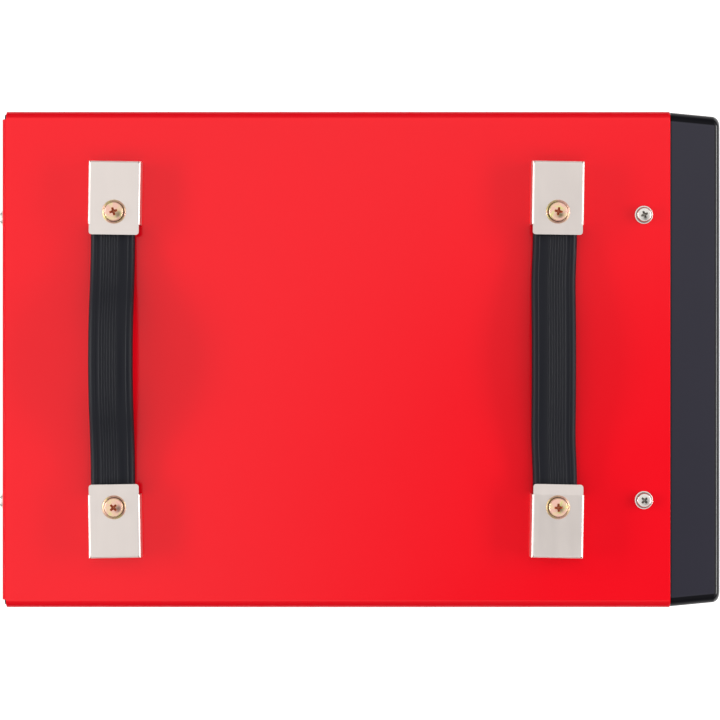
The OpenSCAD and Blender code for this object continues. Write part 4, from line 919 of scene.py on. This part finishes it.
class WELDER_OT_caps(Operator):
    """The four folded handle caps, each fitted by hand and so a little turned about its screw"""
    bl_idname = "welder.caps"
    bl_label = "Handle caps"

    def execute(self, context):
        sizes = context.scene.welder_handles
        for (end, side), turn in CAP_TURN.items():
            node = f"{end}_cap_{'left' if side > 0 else 'right'}"
            low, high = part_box(node)
            sag = sizes.tongue_sag if (end, side) == ("front", -1) else 0.0
            bm = cap_shell(sizes, high - low, sag)
            if side < 0:
                mirrored(bm)
            place = Matrix.Translation(handle_place(end, side)) @ Matrix.Rotation(radians(turn), 4, "Z")
            bmesh.ops.transform(bm, matrix=place, verts=bm.verts)
            made = piece(node + "_shell", bm, "nickel_cap", "case", (node,), 35)
            # The second material: the painted shade of the dish's floor
            made.data.materials.append(coat("seat_shade"))
            level(made, 100)
        return {"FINISHED"}


class WELDER_OT_handle_screws(Operator):
    """The screws, sleeves and nuts that hold the handles"""
    bl_idname = "welder.handle_screws"
    bl_label = "Handle screws"

    def execute(self, context):
        sizes = context.scene.welder_handles
        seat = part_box("rear_cap_left")[1].z - sizes.dish_depth
        one = screw(sizes.head_radius, sizes.head_height, sizes.shank_radius, sizes.shank_length,
                    sizes.recess_span, sizes.recess_arm, flat=0.9, droop=0.22)
        # The recesses take the browned film with its painted shade
        fasteners("handle_screws", "zinc_screw", one, [
            (handle_place(end, side).xy.to_3d() + Vector((0, 0, seat)), (0, 0, 1), turn)
            for (end, side), turn in SCREW_TURN.items()], "zinc_recess_shade")
        coated("handle_sleeves", "plain_steel")
        coated("handle_nuts", "plain_steel")
        return {"FINISHED"}


# ---- rear and front fittings

class WELDER_OT_rear_fittings(Operator):
    """The fan with its guard, the mains inlet, the power switch and the earth terminal"""
    bl_idname = "welder.rear_fittings"
    bl_label = "Rear fittings"

    def execute(self, context):
        dress_all({
            "fan_frame": "fan_plastic", "fan_rotor": "fan_plastic", "fan_guard": "guard_wire",
            "mains_inlet": "fitting_plastic", "inlet_pins": "contact_brass",
            "power_switch_frame": "fitting_plastic", "power_rocker": "rocker_red",
            "earth_stud": "contact_brass", "earth_nuts": "contact_brass",
            "fan_screws": "screw_steel", "inlet_screws": "screw_steel",
        }, context.scene.welder_case.edge_soft,
            crisp=("fan_rotor", "fan_guard", "earth_stud", "fan_screws", "inlet_screws"))
        return {"FINISHED"}


class WELDER_OT_controls(Operator):
    """The control panel with its knobs, meter, lamps and switch"""
    bl_idname = "welder.controls"
    bl_label = "Controls"

    def execute(self, context):
        dress_all({
            "control_panel": "panel_face", "panel_screws": "screw_steel", "current_knob": "knob_plastic",
            "arc_knob": "knob_plastic", "potentiometers": "potentiometer_case",
            "meter_frame": "fitting_plastic", "meter_window": "meter_window",
            "indicator_lenses": "lens_amber", "mode_switch_frame": "fitting_plastic",
            "mode_rocker": "rocker_grey",
        }, context.scene.welder_case.edge_soft,
            crisp=("panel_screws", "current_knob", "arc_knob", "potentiometers", "indicator_lenses"))
        return {"FINISHED"}


def numeral(text, height):
    """Characters as a thin print, centred on the origin and read from +Z."""
    font = bpy.data.curves.new("print", "FONT")
    font.body, font.size, font.extrude, font.resolution_u = text, height, PRINT / 2, 3
    font.align_x, font.align_y = "CENTER", "CENTER"
    holder = bpy.data.objects.new("print", font)
    mesh = bpy.data.meshes.new_from_object(holder)
    bm = bmesh.new()
    bm.from_mesh(mesh)
    bmesh.ops.remove_doubles(bm, verts=bm.verts, dist=NEAR)
    bpy.data.objects.remove(holder)
    bpy.data.meshes.remove(mesh)
    return bm


def bar(width, height, centre=(0.0, 0.0)):
    """A printed bar on the plane z = 0."""
    x, y = centre
    return block((x - width / 2, y - height / 2, 0.0), (x + width / 2, y + height / 2, PRINT))


def scale_marks(place, radius):
    """Eleven ticks with their numerals round a knob, over 270 degrees and open at the bottom."""
    stroke, long_tick, short_tick, air = 0.5 * MM, 2.6 * MM, 1.7 * MM, 1.4 * MM
    figure, out = 3.6 * MM, radius + 6.8 * MM
    parts = []
    for i in range(11):
        turn = radians(27 * i - 135)
        tick = long_tick if i % 5 == 0 else short_tick
        parts.append((bar(stroke, tick, (0.0, radius + air + tick / 2)),
                      place @ Matrix.Rotation(-turn, 4, "Z")))
        parts.append((numeral(str(i), figure),
                      place @ Matrix.Translation((out * sin(turn), out * cos(turn), PRINT / 2))))
    return parts


def seven_segments(high):
    """The seven bars of one digit, its middle at the origin."""
    wide, stroke, air = high * 0.5, high * 0.11, high * 0.02
    across = wide - stroke - 2 * air
    along = high / 2 - stroke - 2 * air
    parts = [(bar(across, stroke, (0.0, k * (high - stroke) / 2)), UPRIGHT) for k in (-1, 0, 1)]
    parts += [(bar(stroke, along, (i * (wide - stroke) / 2, k * (high - stroke) / 4)), UPRIGHT)
              for i in (-1, 1) for k in (-1, 1)]
    return joined(parts)


def rocker_faces(node, direction):
    """The two widest faces of a rocker that look a way, upper one first: the middle and normal of each."""
    bm = copy_of(node)
    looks = (f for f in bm.faces if f.normal.dot(Vector(direction)) > 0.6)
    widest = sorted(looks, key=lambda f: -f.calc_area())[:2]
    faces = sorted(((f.calc_center_median(), f.normal.copy()) for f in widest), key=lambda pair: -pair[0].z)
    bm.free()
    return faces


class WELDER_OT_markings(Operator):
    """The printed scales and signs, the meter's unlit digits and the lines on the knobs"""
    bl_idname = "welder.markings"
    bl_label = "Markings"

    def execute(self, context):
        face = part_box("control_panel")[1].x
        piece("panel_print", joined(self.knob_marks(face) + self.pole_signs(face)), "print_white")
        self.meter_digits()
        self.rocker_signs()
        return {"FINISHED"}

    def knob_marks(self, face):
        """Makes the line on each knob, and returns the scales round them for the panel's print."""
        prints = []
        for node in ("current_knob", "arc_knob"):
            low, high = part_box(node)
            middle = (low + high) / 2
            middle.x = face
            skirt = (high.z - low.z) / 2
            prints += scale_marks(Matrix.Translation(middle) @ FRONT_WAY, skirt)
            grip = skirt - 3 * MM
            line = block((high.x - 0.75 * MM, middle.y - 0.6 * MM, middle.z + grip * 0.37),
                         (high.x - 0.08 * MM, middle.y + 0.6 * MM, middle.z + grip - 2.6 * MM))
            piece(node + "_line", line, "print_white", NODE_BODY[node])
        return prints

    def pole_signs(self, face):
        """A plus beside the socket on the positive busbar's side and a minus beside the other."""
        prints = []
        stroke, across, arm = 1.1 * MM, 5 * MM, 1.95 * MM
        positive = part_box("busbar_positive")
        for low, high in solids("socket_shells"):
            middle = (low + high) / 2
            inward = -1 if middle.y > 0 else 1
            spot = Vector((face, middle.y + inward * ((high.y - low.y) / 2 + 7 * MM), middle.z))
            place = Matrix.Translation(spot) @ FRONT_WAY
            prints.append((bar(across, stroke), place))
            if (positive[0].y + positive[1].y) * middle.y > 0:
                off = (stroke + arm) / 2
                prints += [(bar(stroke, arm, (0.0, k * off)), place) for k in (-1, 1)]
        return prints

    def meter_digits(self):
        """Three unlit digits on the meter's window."""
        low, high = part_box("meter_window")
        tall = (high.z - low.z) * 0.62
        digit = seven_segments(tall)
        place = Matrix.Translation((high.x, (low.y + high.y) / 2, (low.z + high.z) / 2)) @ FRONT_WAY
        digits = [(digit, place @ Matrix.Translation((i * tall * 0.68, 0.0, 0.0))) for i in (-1, 0, 1)]
        piece("meter_digits", joined(digits), "unlit_digits")

    def rocker_signs(self):
        """The on and off signs of the mains rocker."""
        outer, inner = 2.3 * MM, 1.6 * MM
        ring = carved(lathe([(0.0, 0.0), (outer, 0.0), (outer, PRINT), (0.0, PRINT)], 32),
                      lathe([(0.0, -OVERCUT), (inner, -OVERCUT), (inner, OVERCUT), (0.0, OVERCUT)], 32))
        stroke = bar(0.8 * MM, 2 * outer)
        signs = [(sign, Matrix.Translation(middle) @ looking(normal))
                 for sign, (middle, normal) in zip((stroke, ring), rocker_faces("power_rocker", (-1, 0, 0)))]
        piece("power_rocker_print", joined(signs), "print_white", NODE_BODY["power_rocker"])


class WELDER_OT_sockets(Operator):
    """The two output sockets"""
    bl_idname = "welder.sockets"
    bl_label = "Output sockets"

    def execute(self, context):
        dress_all({"socket_shells": "fitting_plastic", "socket_inserts": "contact_brass"})
        return {"FINISHED"}


class WELDER_OT_power_parts(Operator):
    """The heatsinks, boards, capacitors, transformer, choke and busbars inside"""
    bl_idname = "welder.power_parts"
    bl_label = "Power parts"

    def execute(self, context):
        dress_all({
            "heatsink_left": "heatsink_alloy", "heatsink_right": "heatsink_alloy",
            "power_modules": "module_epoxy", "power_board": "circuit_board", "capacitors": "capacitor_sleeve",
            "transformer_core": "ferrite", "transformer_winding": "copper", "choke_core": "powder_core",
            "choke_winding": "copper", "busbar_positive": "copper", "busbar_negative": "copper",
            "control_board": "circuit_board", "board_standoffs": "contact_brass",
        })
        return {"FINISHED"}


# ---- stage

# A long lens high over the middle, in millimetres and metres
CAMERA_LENS = 103.24
CAMERA_SPOT = (0.00586, -0.0003, 1.537)
# A strip lamp off each end, for the panel there: places and size in metres, power in watts
LAMP_SPOTS = {"rear_panel_lamp": (-1.5, 0.0, 0.85), "front_panel_lamp": (1.5, 0.0, 0.85)}
LAMP_SIZE = (1.4, 0.3)
LAMP_POWER = 14.0
# The middle of the dome's dark patch, as the level part of its direction
DARK_PATCH = (0.2, -0.14, 0.0)


class WELDER_OT_stage(Operator):
    """The floor, the light and the camera"""
    bl_idname = "welder.stage"
    bl_label = "Stage"

    def execute(self, context):
        scene = context.scene
        scene.view_settings.view_transform = "Standard"
        self.floor()
        self.sky(scene)
        for name, spot in LAMP_SPOTS.items():
            data = bpy.data.lights.new(name, "AREA")
            data.shape = "RECTANGLE"
            data.size, data.size_y = LAMP_SIZE
            data.energy = LAMP_POWER
            lamp = bpy.data.objects.new(name, data)
            lamp.location = spot
            aim = Vector((0, 0, spot[2])) - Vector(spot)
            lamp.rotation_euler = aim.to_track_quat("-Z", "Y").to_euler()
            scene.collection.objects.link(lamp)
        data = bpy.data.cameras.new("camera")
        data.lens = CAMERA_LENS
        data.sensor_width = 36.0
        data.clip_start = 0.01
        camera = bpy.data.objects.new("camera", data)
        camera.location = CAMERA_SPOT
        scene.collection.objects.link(camera)
        scene.camera = camera
        return {"FINISHED"}

    def floor(self):
        """A pale floor that glows for whoever looks at it but keeps the machine's shadow."""
        bm = bmesh.new()
        bmesh.ops.create_grid(bm, x_segments=1, y_segments=1, size=15.0)
        mesh = bpy.data.meshes.new("floor")
        bm.to_mesh(mesh)
        bm.free()
        ground = bpy.data.objects.new("floor", mesh)
        bpy.context.scene.collection.objects.link(ground)
        mat = bpy.data.materials.new("pale_floor")
        mat.use_nodes = True
        tree = mat.node_tree
        tree.nodes.remove(tree.nodes["Principled BSDF"])
        path = add(tree, "LightPath")
        seen = path.outputs["Is Camera Ray"]
        for kind in ("Is Glossy Ray", "Is Transmission Ray"):
            seen = add(tree, "Math", {0: seen, 1: path.outputs[kind]}, operation="MAXIMUM")
        glow = add(tree, "Math", {0: seen, 1: 0.5}, operation="MULTIPLY")
        light = add(tree, "Emission", {"Strength": glow})
        body = add(tree, "BsdfDiffuse", {"Color": (0.8, 0.8, 0.8, 1.0)})
        both = add(tree, "AddShader", {0: light, 1: body})
        tree.links.new(both.outputs[0], tree.nodes["Material Output"].inputs["Surface"])
        mesh.materials.append(mat)

    def sky(self, scene):
        """A soft dome, bright all over but for a dark patch overhead to the front and right."""
        world = bpy.data.worlds.new("dome")
        scene.world = world
        world.use_nodes = True
        tree = world.node_tree
        way = add(tree, "TexCoord").outputs["Generated"]
        flat = add(tree, "VectorMath", {0: way, 1: (1.0, 1.0, 0.0)}, operation="MULTIPLY")
        off = add(tree, "VectorMath", {0: flat, 1: DARK_PATCH}, operation="DISTANCE")
        lean = add(tree, "MapRange", {
            "Value": off.outputs["Value"], "From Min": 0.09, "From Max": 0.34, "To Min": 0.1, "To Max": 1.0},
            interpolation_type="SMOOTHSTEP")
        parts = add(tree, "SeparateXYZ", {0: way})
        up = add(tree, "MapRange", {
            "Value": parts.outputs["Z"], "From Min": 0.1, "From Max": 0.7, "To Min": 0.15, "To Max": 1.0},
            interpolation_type="SMOOTHSTEP")
        strength = add(tree, "Math", {0: lean, 1: up}, operation="MULTIPLY")
        tree.links.new(strength.outputs[0], tree.nodes["Background"].inputs["Strength"])
        tree.nodes["Background"].inputs["Color"].default_value = (1.0, 1.0, 1.0, 1.0)


class WELDER_PT_panel(Panel):
    """Lists the machine's sizes, colours and building steps"""
    bl_idname = "WELDER_PT_panel"
    bl_label = "Welding machine"
    bl_space_type = "VIEW_3D"
    bl_region_type = "UI"
    bl_category = "Welding machine"

    def draw(self, context):
        for group in (getattr(context.scene, name) for name in GROUPS):
            box = self.layout.box()
            for name in group.__annotations__:
                box.prop(group, name, text=name.replace("_", " ").capitalize())
        for step in STEPS:
            self.layout.operator(step.bl_idname)


STEPS = (
    WELDER_OT_case, WELDER_OT_bezel, WELDER_OT_case_screws, WELDER_OT_straps, WELDER_OT_caps,
    WELDER_OT_handle_screws, WELDER_OT_rear_fittings, WELDER_OT_controls, WELDER_OT_markings,
    WELDER_OT_sockets, WELDER_OT_power_parts, WELDER_OT_stage,
)
GROUPS = {
    "welder_handles": WelderHandleSizes, "welder_case": WelderCaseSizes, "welder_screws": WelderScrewSizes,
    "welder_colours": WelderColours,
}
CLASSES = (*GROUPS.values(), *STEPS, WELDER_PT_panel)


def register():
    for cls in CLASSES:
        bpy.utils.register_class(cls)
    for name, group in GROUPS.items():
        setattr(bpy.types.Scene, name, PointerProperty(type=group))


def unregister():
    for name in GROUPS:
        delattr(bpy.types.Scene, name)
    for cls in reversed(CLASSES):
        bpy.utils.unregister_class(cls)


def main():
    register()
    for step in STEPS:
        getattr(bpy.ops.welder, step.bl_idname.split(".")[1])()


if __name__ == "__main__":
    main()
